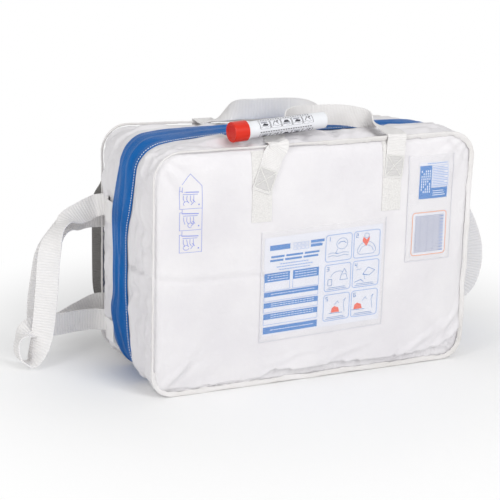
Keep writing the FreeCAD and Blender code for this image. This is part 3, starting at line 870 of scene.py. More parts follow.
def front_relief(x, z):
    """Depth of the folds of the front panel at (x, z), in mm."""
    relief = 2.2 * rough(x / 190, z / 150, 1.3) + 0.8 * rough(x / 60, z / 75, 5.1)
    line = float(np.interp(x, [p[0] for p in CREASE], [p[1] for p in CREASE]))
    line += 2.5 * rough(x / 22, 8.1)
    over = z - line
    depth = 0.45 + 0.55 * float(fade(x, -150, -60))
    lip = 7.5 + 3.0 * rough(x / 45, 4.2)
    if over > 0:
        relief += depth * lip * math.exp(-over / 26)
        relief += 1.3 * rough(x / 14, z / 20, 3.3) * math.exp(-over / 22)
    else:
        relief -= depth * 4.5 * float(fade(-over, 0, 5))
        relief += 2.2 * rough(x / 9, z / 14, 6.3)
    valley = z - (249 + 4 * rough(x / 50, 2.2) - (x + 250) * 0.04)
    left = float(fade(-x, 40, 160))
    relief -= left * 1.7 * math.exp(-(valley / 6) ** 2)
    relief += left * 1.2 * math.exp(-((valley - 13) / 9) ** 2)
    for fold_x, fold_z, lean, length, height in (
            (-325, 38, 0.9, 55, 4.5), (-300, 62, 0.62, 42, 2.5), (255, 58, 0.5, 60, 4.0),
            (330, 92, 1.0, 55, 3.2), (300, 70, 0.62, 40, 3.0), (60, 52, 0.25, 60, 2.5),
            (-318, 455, -0.8, 50, 2.2), (320, 470, 2.3, 55, 2.6), (-60, 60, 0.2, 60, 1.8),
            (345, 300, 1.5, 110, 1.8), (-345, 160, 1.5, 90, 1.6)):
        along = (x - fold_x) * math.cos(lean) + (z - fold_z) * math.sin(lean)
        off = (z - fold_z) * math.cos(lean) - (x - fold_x) * math.sin(lean)
        off += 5 * rough(along / 40, fold_x)
        relief += height * math.exp(-(along / length) ** 2) * (
            math.exp(-(off / 7) ** 2) - 0.7 * math.exp(-((off + 13) / 8) ** 2))
    for corner_x, corner_z, phase in ((-365, 0, 0.4), (365, 0, 2.0), (-365, 516, 1.1), (365, 516, 3.0)):
        reach = math.hypot(x - corner_x, z - corner_z)
        if 25 < reach < 330:
            angle = math.atan2(z - corner_z, x - corner_x)
            ray = math.sin(angle * 15 + phase + 2.2 * rough(reach / 60, corner_x, corner_z))
            relief += 2.1 * math.exp(-reach / 100) * ray
    return relief


def rear_relief(x, z):
    """Depth of the folds of the rear panel at (x, z), in mm."""
    relief = 2.8 * rough(x / 150, z / 120, 9.3) + 1.2 * rough(x / 45, z / 60, 6.1)
    relief += 2.2 * math.exp(-((z - 30 - 6 * rough(x / 60, 7.7)) / 14) ** 2)
    relief += 1.4 * ridged(rough(x / 30, z / 190, 2.4)) * math.exp(-min(z, 516 - z) / 70)
    return relief


def gusset_relief(around, y, corner, top):
    """Depth of the folds of the gusset, so many mm round the bag and y mm deep."""
    relief = 4.2 * ridged(rough(around / 230, y / 34, 7.7)) + 2.4 * ridged(rough(around / 100, y / 22, 2.9))
    relief += 1.6 * rough(around / 40, y / 40, 6.6) - 1.0
    relief += 3.2 * corner * rough(around / 15, y / 60, 4.4)
    relief -= top * 5.0 * float(fade(y, -20, 90)) * (0.6 + rough(around / 90, 3.0))
    return relief


HELD = "held"
CLOTH = {
    "quality": 5, "mass": 0.25, "tension_stiffness": 12, "compression_stiffness": 12, "shear_stiffness": 6,
    "bending_stiffness": 1.2, "air_damping": 2, "use_pressure": True, "uniform_pressure_force": 2.5,
    "vertex_group_mass": HELD, "shrink_min": -0.05}
LAST_FRAME = 20
SWELL_TURNS = 40
WRINKLE_GAIN = 1.5
WRINKLE_MOST = 5.0
BAND_HOLDS = 0.85
BAND_FLATTENS = 0.7


def long_waves(moved, edges):
    """Slow part of a movement: each vertex takes its neighbours' mean, many times over."""
    both = np.concatenate((edges, edges[:, ::-1]))
    many = np.bincount(both[:, 0], minlength=len(moved))[:, None]
    slow = moved
    for _ in range(SWELL_TURNS):
        sums = [np.bincount(both[:, 0], weights=slow[both[:, 1], axis], minlength=len(moved))
                for axis in range(3)]
        slow = np.stack(sums, axis=1) / many
    return slow


def settle(obj):
    """Let the held cloth buckle over its filling for a few frames, and keep its short wrinkles."""
    rest = places_of(obj)
    held = obj.vertex_groups.new(name=HELD)
    strength = np.maximum(fade(np.abs(rest[:, 1]), 140, 152), 1 - fade(rest[:, 2], 2, 9))
    for index in range(len(rest)):
        if strength[index] > 0.02:
            held.add([index], float(strength[index]), "REPLACE")
    pick(obj)
    bpy.ops.object.modifier_add(type="CLOTH")
    cloth = obj.modifiers[-1]
    for name, value in CLOTH.items():
        setattr(cloth.settings, name, value)
    cloth.settings.effector_weights.gravity = 0
    cloth.point_cache.frame_start = 1
    cloth.point_cache.frame_end = LAST_FRAME
    for moment in range(1, LAST_FRAME + 1):
        bpy.context.scene.frame_set(moment)
    bpy.ops.object.modifier_apply(modifier=cloth.name)
    bpy.context.scene.frame_set(1)
    obj.vertex_groups.clear()
    moved = places_of(obj) - rest
    edges = np.array([tuple(edge.vertices) for edge in obj.data.edges])
    wrinkles = (moved - long_waves(moved, edges)) * WRINKLE_GAIN
    length = np.linalg.norm(wrinkles, axis=1, keepdims=True)
    wrinkles *= np.minimum(1, WRINKLE_MOST / np.maximum(length, 1e-6))
    wrinkles *= (1 - BAND_HOLDS * under_band(rest))[:, None]
    set_places(obj, rest + wrinkles)


def valise_shell(settings):
    """Packed bag: its skin remeshed, filled out, folded and crowned."""
    obj = node_copy("valise_body", "valise_shell")
    cell = settings.cell * 1
    modify(obj, "REMESH", mode="VOXEL", voxel_size=cell, use_smooth_shade=True)
    modify(obj, "SMOOTH", factor=0.5, iterations=5)
    settle(obj)
    modify(obj, "SUBSURF", levels=1, render_levels=1)
    places, normals = places_of(obj), vertex_values(obj, "normal")
    seam_distance = HALF_DEPTH - np.abs(places[:, 1])
    on_gusset = fade(seam_distance, -2, 10)
    push = np.zeros(len(places))
    banded = under_band(places)
    for index, (x, y, z) in enumerate(places):
        share = on_gusset[index]
        around = math.atan2(z - MIDDLE_Z, x) * 400
        edge = min(HALF_LENGTH + 12 - abs(x), z + 4, HEIGHT + 6 - z)
        if share < 1:
            panel = front_relief(x, z) if y < 0 else rear_relief(x, z)
            inner = float(fade(edge, 4, 24))
            low = 1.0 if z < 60 and y < 0 else inner
            pucker = 1.6 * rough(around / 8, y / 90) * math.exp(-max(edge - 8, 0) / 18)
            rim = 2.0 * math.exp(-max(edge - 10, 0) / 5) * float(fade(seam_distance[index], -9, 0))
            push[index] += (1 - share) * (panel * max(inner, low * 0.8) + pucker + rim)
        if share > 0:
            corner = float(fade(abs(x), 250, 330)) * float(fade(abs(z - MIDDLE_Z), 150, 220))
            inner = float(fade(seam_distance[index], 4, 22))
            pucker = 1.6 * rough(around / 9, 1.0) * math.exp(-max(seam_distance[index] - 4, 0) / 16)
            pucker += 2.2 * math.exp(-((seam_distance[index] - 7) / 5) ** 2)
            top = float(fade(z, 440, 480))
            relief = gusset_relief(around, y, corner, top) * (1 - BAND_FLATTENS * banded[index])
            push[index] += share * (relief * inner + pucker)
        if z < 8 and seam_distance[index] > 12:
            push[index] = min(push[index], 0.3)
    places += normals * (push * settings.folds)[:, None]
    places[:, 2] = np.maximum(places[:, 2], 1.2)
    set_places(obj, places)
    keep_skin(obj)
    put(obj, coated_cloth("White coated cloth", settings.fabric, 0.4, 4200.0,
                          rgb("#d6d3d8"), 0.0028), ("valise_body",), angle=180)
    return obj


# Knots of the band's two edges: degrees round the bag, mm behind its middle.
BAND_REAR = (
    (90, 78), (121, 76), (132, 56), (143, 26), (151, 13), (158, 30), (165, 57), (180, 54), (194, 50),
    (200, 82), (205, 46), (225, 50), (345, 52), (375, 55), (405, 46), (435, 64), (450, 78))
BAND_FRONT = (
    (90, -30), (122, -31), (134, -53), (143, -81), (155, -69), (164, -52), (170, -38), (188, -35),
    (199, -47), (209, -59), (225, -50), (345, -46), (405, -46), (435, -38), (450, -30))
EDGE_BLEND = (-3, -1.5, 0, 1.5, 3)


def band_edge(angle, knots):
    """One edge of the band at angles round the bag, its knots blended, in mm."""
    rounds, places = zip(*knots)
    spots = [np.interp(np.asarray(angle) + step, rounds, places) for step in EDGE_BLEND]
    return sum(spots) / len(spots)


def under_band(places):
    """How far places in mm lie under the band: 0 clear of it, 1 under it."""
    angles = (np.degrees(np.arctan2(places[:, 2] - MIDDLE_Z, places[:, 0])) - 90) % 360 + 90
    rear, front = band_edge(angles, BAND_REAR), band_edge(angles, BAND_FRONT)
    return fade(places[:, 1], front - 16, front - 4) * (1 - fade(places[:, 1], rear + 4, rear + 16))


def ring_spot(angle, y):
    """Place and normal on the gusset, at an angle round the bag's middle."""
    turn = math.radians(angle)
    outward = Vector((math.cos(turn), 0, math.sin(turn)))
    start = Vector((0, y, MIDDLE_Z)) + outward * 700
    return hit(start, -outward)


def band_angles(count):
    """Angles that step evenly round the bag's outline."""
    dense = np.linspace(90, 450, 1441)
    spots = [ring_spot(a, 0)[0] for a in dense]
    lengths = [0.0]
    for a, b in zip(spots, spots[1:]):
        lengths.append(lengths[-1] + (b - a).length)
    return np.interp(np.linspace(0, lengths[-1], count + 1), lengths, dense), lengths[-1]


def band_surface(angles, count, rows):
    """Places of the band's outer face and the cloth's outward directions under it."""
    reach = np.zeros((count, rows + 1))
    across = np.zeros((count, rows + 1))
    outward = np.zeros((count, rows + 1, 3))
    for i in range(count):
        rear, front = band_edge(angles[i], BAND_REAR), band_edge(angles[i], BAND_FRONT)
        for j in range(rows + 1):
            across[i, j] = front + (rear - front) * j / rows
            spot, normal = ring_spot(angles[i], across[i, j])
            reach[i, j] = math.hypot(spot.x, spot.z - MIDDLE_Z)
            outward[i, j] = normal
    even = reach.copy()
    for _ in range(3):
        even = sum(np.roll(even, k, axis=0) for k in range(-3, 4)) / 7
    places = np.zeros((count, rows + 1, 3))
    for i in range(count):
        turn = math.radians(angles[i])
        s = angles[i] * 6.2
        direction = np.array((math.cos(turn), 0, math.sin(turn)))
        belly_at = math.exp(-((angles[i] - 199) / 7) ** 2)
        centre = 0.5 + 0.2 * rough(s / 190, 3.1)
        for j in range(rows + 1):
            t = j / rows
            ridge = 3.2 * math.exp(-((t - centre + 0.17) / 0.14) ** 2)
            crease = -2.8 * math.exp(-((t - centre) / 0.05) ** 2)
            second = 2.6 * math.exp(-((t - centre - 0.22) / 0.13) ** 2)
            third = 1.4 * ridged(rough(s / 260, t * 4.5, 1.7))
            waves = 1.2 * rough(s / 80, t * 2.5, 8.8) + 0.6 * rough(s / 24, t * 1.5, 2.2) + third
            belly = 7.0 * belly_at * math.sin(math.pi * t)
            edge = math.sin(math.pi * t) ** 0.5
            lift = 1.6 + edge * max(ridge + crease + second + waves + belly, -0.6)
            distance = max(reach[i, j] + 1.0, even[i, j] + lift)
            places[i, j] = direction * distance + (0, across[i, j], MIDDLE_Z)
            places[i, j, 2] = max(places[i, j, 2], 0.6)
    return places, outward


SQUARE = ((-1, -1), (1, -1), (1, 1), (-1, 1))


def band_stitches(places, outward):
    """Short raised stitches along the band's front edge."""
    middles = [Vector(row[1] * 0.5 + row[2] * 0.5) for row in places]
    faces = []
    for row, middle, ahead, cloth in zip(places, middles, middles[1:] + middles[:1], outward):
        along = (ahead - middle).normalized()
        side = (Vector(row[3]) - Vector(row[0])).normalized()
        up = along.cross(side).normalized()
        if up.dot(Vector(cloth[1])) < 0:
            up = -up
        centre = middle + up * 0.95
        long, wide, high = along * 1.8, side * 0.8, up * 0.45
        top = [centre + long * m * 0.7 + wide * n * 0.6 + high for m, n in SQUARE]
        low = [centre + long * m + wide * n - high for m, n in SQUARE]
        faces += [top, low[::-1]]
        faces += [[low[k], low[(k + 1) % 4], top[(k + 1) % 4], top[k]] for k in range(4)]
    thread = outwards(shapes_object("band_stitches", faces))
    return put(thread, moulded("White thread", rgb("#f4f4f1"), 0.7))


def closure_band(settings):
    """Blue band round the closure, laid in lengthwise folds, with its stitch line."""
    count, rows = 420, 26
    angles, length = band_angles(count)
    places, outward = band_surface(angles, count, rows)

    def place(u, v):
        return places[round(u * count) % count, round(v * rows)]

    obj = weld(cloth_grid("closure_band_cloth", count, rows, place), 0.05)
    thicken(obj, 1.2)
    material = coated_cloth("Blue coated cloth", settings.band, 0.38, 5200.0,
                            rgb("#004688"), 0.0030, 0.6)
    material.node_tree.nodes["Principled BSDF"].inputs["Specular IOR Level"].default_value = 0.12
    put(obj, material, ("closure_band",), angle=70)
    band_stitches(places, outward)
    return obj


def seam_route(side, count):
    """Places round the piped seam of one panel, evenly spaced, in mm."""
    half, low, left = HALF_LENGTH, 46, 58
    right, right_drop, left_drop = (58, 0, 0) if side < 0 else (78, 26, 8)
    corners = ((half - low, FOOT + low, low, -90), (half - right, HEIGHT - right_drop - right, right, 0),
               (-half + left, HEIGHT - left_drop - left, left, 90), (-half + low, FOOT + low, low, 180))
    spots = []
    for x, z, radius, start in corners:
        spots += arc_points(x, z, radius, radius, start, start + 90, 24)
    spots.append(spots[0])
    lengths = [0.0]
    for (a, b), (c, d) in zip(spots, spots[1:]):
        lengths.append(lengths[-1] + math.hypot(c - a, d - b))
    even = np.linspace(0, lengths[-1], count + 1)
    xs = np.interp(even, lengths, [p[0] for p in spots])
    zs = np.interp(even, lengths, [p[1] for p in spots])
    return xs, zs, even


def piping(side, finish):
    """Piped seam round one panel, gathered where the cloth is taken up."""
    count, rim = 900, 12
    xs, zs, even = seam_route(side, count)

    def place(u, v):
        i = round(u * count) % count
        x, z, s = xs[i], zs[i], even[i]
        ahead, behind = (i + 1) % count, (i - 1) % count
        tx, tz = xs[ahead] - xs[behind], zs[ahead] - zs[behind]
        size = math.hypot(tx, tz)
        out = Vector((tz / size, 0, -tx / size))
        gather = 0.7 + 0.5 * float(fade(rough(s / 140, side * 3.0), -0.2, 0.4))
        broad = float(fade(x, -60, 40)) if z > HEIGHT - 80 else float(fade(x, 250, 320))
        if z < 60:
            broad = 1.0
        gather += 0.9 * broad
        turn = 2 * math.pi * v
        pleat = rough(s / 6.5, side * 7.0) * (0.9 - 0.65 * broad) + rough(s / 17, side * 2.0) * 0.9
        radius = 1.75 + 0.7 * broad + gather * pleat * 0.5
        radius *= 1 + 0.07 * broad * math.sin(turn * 2 + s / 16)
        radius *= 1 + (0.15 - 0.1 * broad) * rough(s / 5, turn * 1.2)
        inward = max(0.0, -math.cos(turn)) * (0.9 + 1.5 * broad)
        wander = gather * 1.1 * rough(s / (24 + 26 * broad), side * 5.5)
        centre = Vector((x, side * (HALF_DEPTH + 0.3 + wander * 0.5), z)) + out * (wander * 0.9)
        spot = centre + out * (radius * math.cos(turn) * (1 + inward))
        spot += Vector((0, side, 0)) * (radius * math.sin(turn) - 0.5 * inward)
        spot.z = max(spot.z, 0.1)
        return spot

    node = "front_piping" if side < 0 else "rear_piping"
    obj = outwards(weld(cloth_grid(node + "_cloth", count, rim, place), 0.02))
    return put(obj, finish, (node,), angle=80)


HANDLE_LEFT = -131.0
HANDLE_RIGHT = 167.0
PATCH_WIDTH = 44
PATCH_FOOT = 361


def sewn_patches(finish):
    """Fuzzy patches under the handle ends."""
    for side, panel, shift in ((-1, "front", 4), (1, "rear", 0)):
        for name, x in (("left", HANDLE_LEFT), ("right", HANDLE_RIGHT)):
            height = seam_top(side, x) - 10 - PATCH_FOOT
            node = f"{panel}_patch_{name}"
            panel_sheet(node + "_pile", side, x - PATCH_WIDTH / 2 - shift, PATCH_FOOT, PATCH_WIDTH, height,
                        PATCH_T / 2 + 0.15, PATCH_T, finish, "hook_patch", (node,), cell=4.0)


CARD = (-126.0, 117.0, 273.0, 212.0)
POCKET = (-133.0, 104.0, 287.0, 238.0)
PAPERS = (204.0, 242.0, 110.0, 231.0)
SERVICE = (229.5, 377.0, 74.0, 80.0)
INSPECT = (216.0, 252.0, 88.0, 98.0)
SKEW = 0.03


def step_picture(number, x, z):
    """Thin-line picture of one step, in a field of 61 by 58 mm: its lines and its warm fields."""
    lines, warm = [], []

    def draw(width, *points, closed=False):
        lines.extend(stroke(shifted(x, z, *points), width, closed))

    if number == 1:
        lines += stroke(arc_points(x + 38, z + 37, 13, 12, 0, 360, 18)[:-1], 0.8, closed=True)
        draw(1.3, (29, 37), (34, 41), (43, 41), (47, 37))
        draw(0.8, (28, 26), (23, 18), (28, 17))
        for rise in (11, 17):
            draw(0.8, (6, rise), (16, rise + 2), (28, rise - 1), (42, rise + 1), (54, rise - 1))
    elif number == 2:
        warm += blob(shifted(x, z, (22, 45), (20, 36), (29, 24), (36, 36), (37, 45), (30, 38)))
        lines += stroke(arc_points(x + 30, z + 47, 5.5, 5.5, 0, 360, 12)[:-1], 0.8, closed=True)
        lines += stroke(arc_points(x + 30, z + 11, 22, 23, 10, 170), 0.8)
        lines += stroke(arc_points(x + 30, z + 11, 16, 15, 10, 170), 0.8)
        draw(0.8, (8, 14), (14, 7), (46, 7), (52, 14))
    elif number == 3:
        lines += stroke(rounded(x + 8, z + 12, 9, 14, 2), 1.0, closed=True)
        lines += stroke(arc_points(x + 32, z + 28, 18, 14, 60, 170), 0.8)
        draw(0.9, (36, 22), (54, 22), (50, 34), (39, 34), closed=True)
        draw(1.0, (40, 36), (46, 46), (51, 37))
    elif number == 4:
        draw(0.7, (8, 38), (12, 40), (16, 38), (20, 40))
        draw(1.0, (24, 27), (36, 42), (52, 34), (40, 24), closed=True)
        draw(0.8, (30, 16), (26, 28), (34, 24))
        draw(1.3, (6, 12), (20, 16), (26, 11))
    else:
        shift = 14 if number == 5 else 2
        warm += blob(shifted(x + shift, z, (4, 17), (24, 17), (21, 27), (12, 31), (6, 27)))
        draw(1.0, (shift, 16), (shift + 30, 15))
        draw(0.8, (50, 16), (47, 36), (52, 46), (46, 41))
        draw(0.8, (26, 34), (33, 42), (36, 36))
    if number > 2:
        for rise, start, length in ((3.2, 6, 46), (6.6, 9, 40)):
            lines += bar(x + start, z + rise, length, 1.0)
    return lines, warm


def header(x, z, width, height, rows):
    """Blue header field, with pale dashes where words would be."""
    dashes = []
    for row in range(rows):
        level = z + height * (row + 0.75) / (rows + 0.5)
        start = x + width * (0.08 + 0.05 * ((row * 3 + int(x)) % 3))
        while start < x + width * 0.9:
            length = 3.0 + (int(start * 7) % 5)
            dashes += bar(start, level - 0.7, min(length, x + width * 0.93 - start), 1.3)
            start += length + 1.3
    return bar(x, z, width, height), dashes


def instruction_print(colors):
    """Fields, frames and small generic pictures of the large card."""
    x0, z0 = CARD[0], CARD[1]
    blue, pale, orange, white = colors
    solid, light, thin, warm = [], [], [], []
    solid += bar(x0 + 12, z0 + 184, 46, 11)
    for k in range(8):
        thin += stroke(rounded(x0 + 66 + (k % 4) * 9, z0 + 180 + (k // 4) * 8.5, 7, 6, 1), 0.6, closed=True)
    solid += bar(x0 + 105, z0 + 190, 31, 6) + bar(x0 + 105, z0 + 181.5, 27, 5.5)
    thin += bar(x0 + 105, z0 + 187.5, 24, 1.0)
    for z in (160, 168):
        for start, width in ((13, 30), (47, 38), (89, 34)):
            solid += bar(x0 + start + (z - 160) * 0.3, z0 + z, width, 4.2)
    for z, start, width in ((152.5, 36, 66), (146.5, 28, 82), (140.5, 34, 70)):
        for k in range(start, start + width, 6):
            thin += bar(x0 + k, z0 + z, 4.6, 2.0)
    for x, width in ((1, 58), (66, 60)):
        field, words = header(x0 + x, z0 + 117, width, 19, 3)
        solid += field
        light += words
        thin += stroke(rounded(x0 + x, z0 + 97, width, 20, 1), 0.8, closed=True)
    for z, height, rows, low in ((85, 10, 1, 75), (61, 11, 2, 51), (36, 12, 2, 24)):
        field, words = header(x0 + 1, z0 + z, 125, height, rows)
        solid += field
        light += words
        thin += stroke(rounded(x0 + 1.4, z0 + low, 124.2, z - low, 1), 0.8, closed=True)
    field, words = header(x0 + 1, z0 + 4, 125, 15, 1)
    solid += field
    light += words
    for number in range(1, 7):
        x = x0 + 140 + (1 - number % 2) * 66
        z = z0 + (143, 78, 12)[(number - 1) // 2]
        thin += stroke(rounded(x, z, 61, 58, 6), 1.3, closed=True)
        solid += digit(number, x + 5, z + 45, 8)
        lines, fields = step_picture(number, x, z)
        solid += lines
        warm += fields
    printed("card_fields", solid, on_front(0.95, SKEW), blue)
    printed("card_lines", thin, on_front(0.93, SKEW), pale)
    printed("card_words", light, on_front(1.06, SKEW), white)
    printed("card_accents", warm, on_front(1.0, SKEW), orange)


def service_print(colors, ink, border_finish):
    """Blue field, lines and table of the two small cards."""
    blue, pale, _, white = colors
    solid, thin, words, grey, border = [], [], [], [], []
    x, z, width, height = SERVICE
    solid += bar(x + 1, z + 1, 29, height - 8)
    solid += bar(x + 30, z + 1, 41, 23)
    for k in range(5):
        for step in range(9):
            if (k * 4 + step * 3) % 7:
                words += bar(x + 5 + k * 5, z + 14 + step * 5.6, 2.2, 4.2)
    for k in range(3):
        words += bar(x + 34, z + 7 + k * 4.6, 32 - k * 3, 1.5)
    for k in range(12):
        thin += bar(x + 33, z + 28 + k * 3.6, 37 - 8 * (k % 3 == 2), 1.2)
    thin += stroke([(x + 31, z + 26), (x + 71, z + 26), (x + 71, z + 72), (x + 31, z + 72)], 0.6, True)
    for k in range(12):
        thin += bar(x + 20 + k * 4.2, z + height - 4, 3.1, 1.8)
    x, z, width, height = INSPECT
    border += stroke(rounded(x + 2, z + 2, width - 4, height - 4, 7), 1.7, closed=True)
    for k in range(24):
        level = z + 8.5 + k * 3.4
        grey += bar(x + 8, level, width - 16, 0.5)
        step = x + 9.5
        while step < x + width - 11:
            length = 2.4 + (int(step * 3 + k * 5) % 4)
            grey += bar(step, level + 1.1, length, 1.1)
            step += length + 1.5
    for k in range(12):
        thin += bar(x + width - 17, z + 8.5 + k * 6.8, 9, 2.6)
    printed("service_field", solid, on_front(0.95), blue)
    printed("service_words", words, on_front(1.06), white)
    printed("service_lines", thin, on_front(0.93), pale)
    printed("inspection_border", border, on_front(0.95), border_finish)
    printed("inspection_table", grey, on_front(0.95), ink)


def arrow_print(finish):
    """Outlined arrow with three small picture cells, printed on the front panel."""
    line = 1.0
    left, right = -313.0, -266.0
    faces = stroke([(left, 440), (left, 447), (-290, 472), (right, 447), (right, 440)], line)
    for index, low in enumerate((312, 358, 402)):
        high = low + 44
        faces += stroke([(left, low), (left, high - 7), (left + 5, high - 7), (left + 5, high)], line)
        faces += stroke([(right, low), (right, high)], line)
        faces += stroke([(left, low), (right, low)], line * 0.8)
        faces += stroke([(left + 5, high - 9), (right - 8, high - 11)], 1.9)
        faces += stroke([(left + 7, high - 14), (right - 10, high - 15)], 1.1)
        for k in range(4):
            lean = 3 * rough(index * 3.1, k * 1.7)
            x = left + 8 + k * 7
            faces += stroke([(x, high - 17), (x + lean, high - 24 - k), (x + 3, high - 31)], 1.1)
        curl = arc_points(left + 14 + 9 * (index % 2), low + 10, 6, 5, 20, 340 - 60 * index, 10)
        faces += stroke(curl, 1.0)
        faces += stroke([(left + 24, low + 8), (left + 30, low + 15), (left + 27, low + 18)], 1.3)
        faces += disc(right - 7, low + 8, 1.6)
    return printed("arrow_print", faces, on_front(0.2), finish)


def pockets_and_cards(colors, film, stock):
    """Cards in their two clear pockets, with the pockets' sewn edges."""
    for name, place, slot, cell, skew in (
            ("instruction_card", CARD, "printed_card", 8.0, SKEW),
            ("service_card", SERVICE, "service_card", 6.0, 0.0),
            ("inspection_card", INSPECT, "inspection_card", 6.0, 0.0)):
        panel_sheet(name + "_stock", -1, *place, 0.45, 0.5, stock, slot, (name,), cell=cell, skew=skew)
    instruction_print(colors)
    service_print(colors, paper("Table ink", rgb("#8b93b4")), paper("Orange border", rgb("#eda070")))
    pockets = (("label_pocket", POCKET, 7.0, 1.1, SKEW), ("papers_pocket", PAPERS, 6.0, 1.0, 0.0))
    for name, place, cell, wave, skew in pockets:
        panel_sheet(name + "_film", -1, *place, 1.55, 0.3, film, "clear_film", (name,), cell=cell,
                    wave=wave, skew=skew)
    edge = moulded("Sewn film edge", rgb("#dcdbe2"), 0.4)
    for name, (x, z, width, height), _, _, skew in pockets:
        faces = stroke([(x, z + height), (x, z), (x + width, z), (x + width, z + height)], 1.4)
        printed(name + "_seam", faces, on_front(1.4, skew), edge, thickness=0.25)


def front_handle_route():
    """Route of the front carrying strap."""
    left, right = -128.0, 168.0
    seam = HALF_DEPTH
    return [
        laid_on_panel(-1, left - 11, 425, OVER_PATCH, -20),
        laid_on_panel(-1, left - 5.5, ring_top(-1, left, 0.6), OVER_PATCH, -20),
        laid_on_panel(-1, left + 9, ring_top(-1, left, 0.3), OVER_PATCH, -19),
        laid_on_panel(-1, left + 19, ring_top(-1, left, 0.12), OVER_PATCH, -15),
        *over_seam(-1, left + 30, (0.98, 0, 0)),
        (laid_on_top(left + 40, 38 - seam, SEWN), Vector((0.98, -0.15, 0))),
        (laid_on_top(left + 50, 64 - seam, SEWN), Vector((0.98, -0.2, 0.05))),
        (Vector((left + 71, 90.5 - seam, HEIGHT + 18)), Vector((0.86, -0.25, 0.45))),
        (Vector((left + 104, 99 - seam, HEIGHT + 34)), Vector((0.35, -0.15, 0.93))),
        (Vector((left + 150, 101 - seam, HEIGHT + 34)), ACROSS_Z),
        (Vector((right - 94, 97 - seam, HEIGHT + 33)), Vector((-0.04, 0, 1))),
        (Vector((right - 60, 91 - seam, HEIGHT + 30)), Vector((-0.2, 0.08, 0.97))),
        (Vector((right - 34, 81 - seam, HEIGHT + 25)), Vector((-0.45, 0.2, 0.85))),
        (Vector((right - 14, 66 - seam, HEIGHT + 18)), Vector((-0.75, 0.3, 0.55))),
        (Vector((right - 2, 45 - seam, HEIGHT + 12)), Vector((-0.93, 0.2, 0.25))),
        (Vector((right + 4, 22 - seam, HEIGHT + 8.5)), -ACROSS_X),
        *reversed(over_seam(-1, right + 6, (-1, 0, 0))),
        *turned_over([
            laid_on_panel(-1, right + 4, ring_top(-1, right, 0.12), OVER_PATCH),
            laid_on_panel(-1, right + 1, ring_top(-1, right, 0.3), OVER_PATCH),
            laid_on_panel(-1, right - 4, 430, OVER_PATCH),
        ]),
    ]


def rear_handle_route():
    """Route of the rear carrying strap."""
    left, right, foot, seam = HANDLE_LEFT, HANDLE_RIGHT, 408.0, HALF_DEPTH
    return [
        laid_on_panel(1, left, foot, OVER_PATCH),
        laid_on_panel(1, left, ring_top(1, left, 0.6), OVER_PATCH),
        laid_on_panel(1, left - 1, ring_top(1, left, 0.3), OVER_PATCH),
        laid_on_panel(1, left - 1, ring_top(1, left, 0.12), OVER_PATCH),
        *over_seam(1, left - 2, (1, 0, 0)),
        (laid_on_top(left + 6, seam - 28, SEWN + 5), Vector((0.98, 0.1, 0.1))),
        (laid_on_top(left + 22, seam - 46, 15), Vector((0.8, 0.25, 0.5))),
        (Vector((left + 48, seam - 72, HEIGHT + 23)), Vector((0.35, 0.2, 0.9))),
        (Vector((left + 80, seam - 96, HEIGHT + 28)), Vector((0.05, 0.1, 1))),
        (Vector((left + 132, seam - 108, HEIGHT + 30)), ACROSS_Z),
        (Vector((left + 184, seam - 108, HEIGHT + 26)), Vector((0, 0.4, 0.9))),
        (Vector((right - 64, seam - 102, HEIGHT + 17)), Vector((-0.05, 0.85, 0.5))),
        (laid_on_top(right - 28, seam - 86, 11), Vector((-0.5, 0.85, 0.12))),
        (laid_on_top(right - 6, seam - 58, 9), Vector((-0.9, 0.4, 0.05))),
        (laid_on_top(right, seam - 28, 7), -ACROSS_X),
        *reversed(over_seam(1, right + 1, (-1, 0, 0))),
        *turned_over([
            laid_on_panel(1, right, ring_top(1, right, 0.12), OVER_PATCH),
            laid_on_panel(1, right, ring_top(1, right, 0.3), OVER_PATCH),
            laid_on_panel(1, right, ring_top(1, right, 0.6), OVER_PATCH),
            laid_on_panel(1, right, foot, OVER_PATCH),
        ]),
    ]


def sewn_on_end(side, height):
    """Places of a strap sewn on the rear gusset of one end, from the band outwards."""
    angle = math.degrees(math.atan2(height - MIDDLE_Z, side * HALF_LENGTH)) % 360
    start = band_edge(angle if angle > 90 else angle + 360, BAND_REAR) + 2
    places = [start + share * (133 - start) for share in (0, 0.35, 0.7, 1)]
    return [(laid_on_end(side, y, height, SEWN), ACROSS_Z) for y in places]


def loop_route(side, upper, lower, free):
    """Loop sewn on one end at two heights, with its free places between."""
    inward = list(reversed(sewn_on_end(side, lower)))
    if side > 0:
        inward = turned_over(inward)
    places = [(beside(side, out, seam, (upper if high else lower) + rise), Vector(across))
              for out, seam, high, rise, across in free]
    return sewn_on_end(side, upper) + places + inward


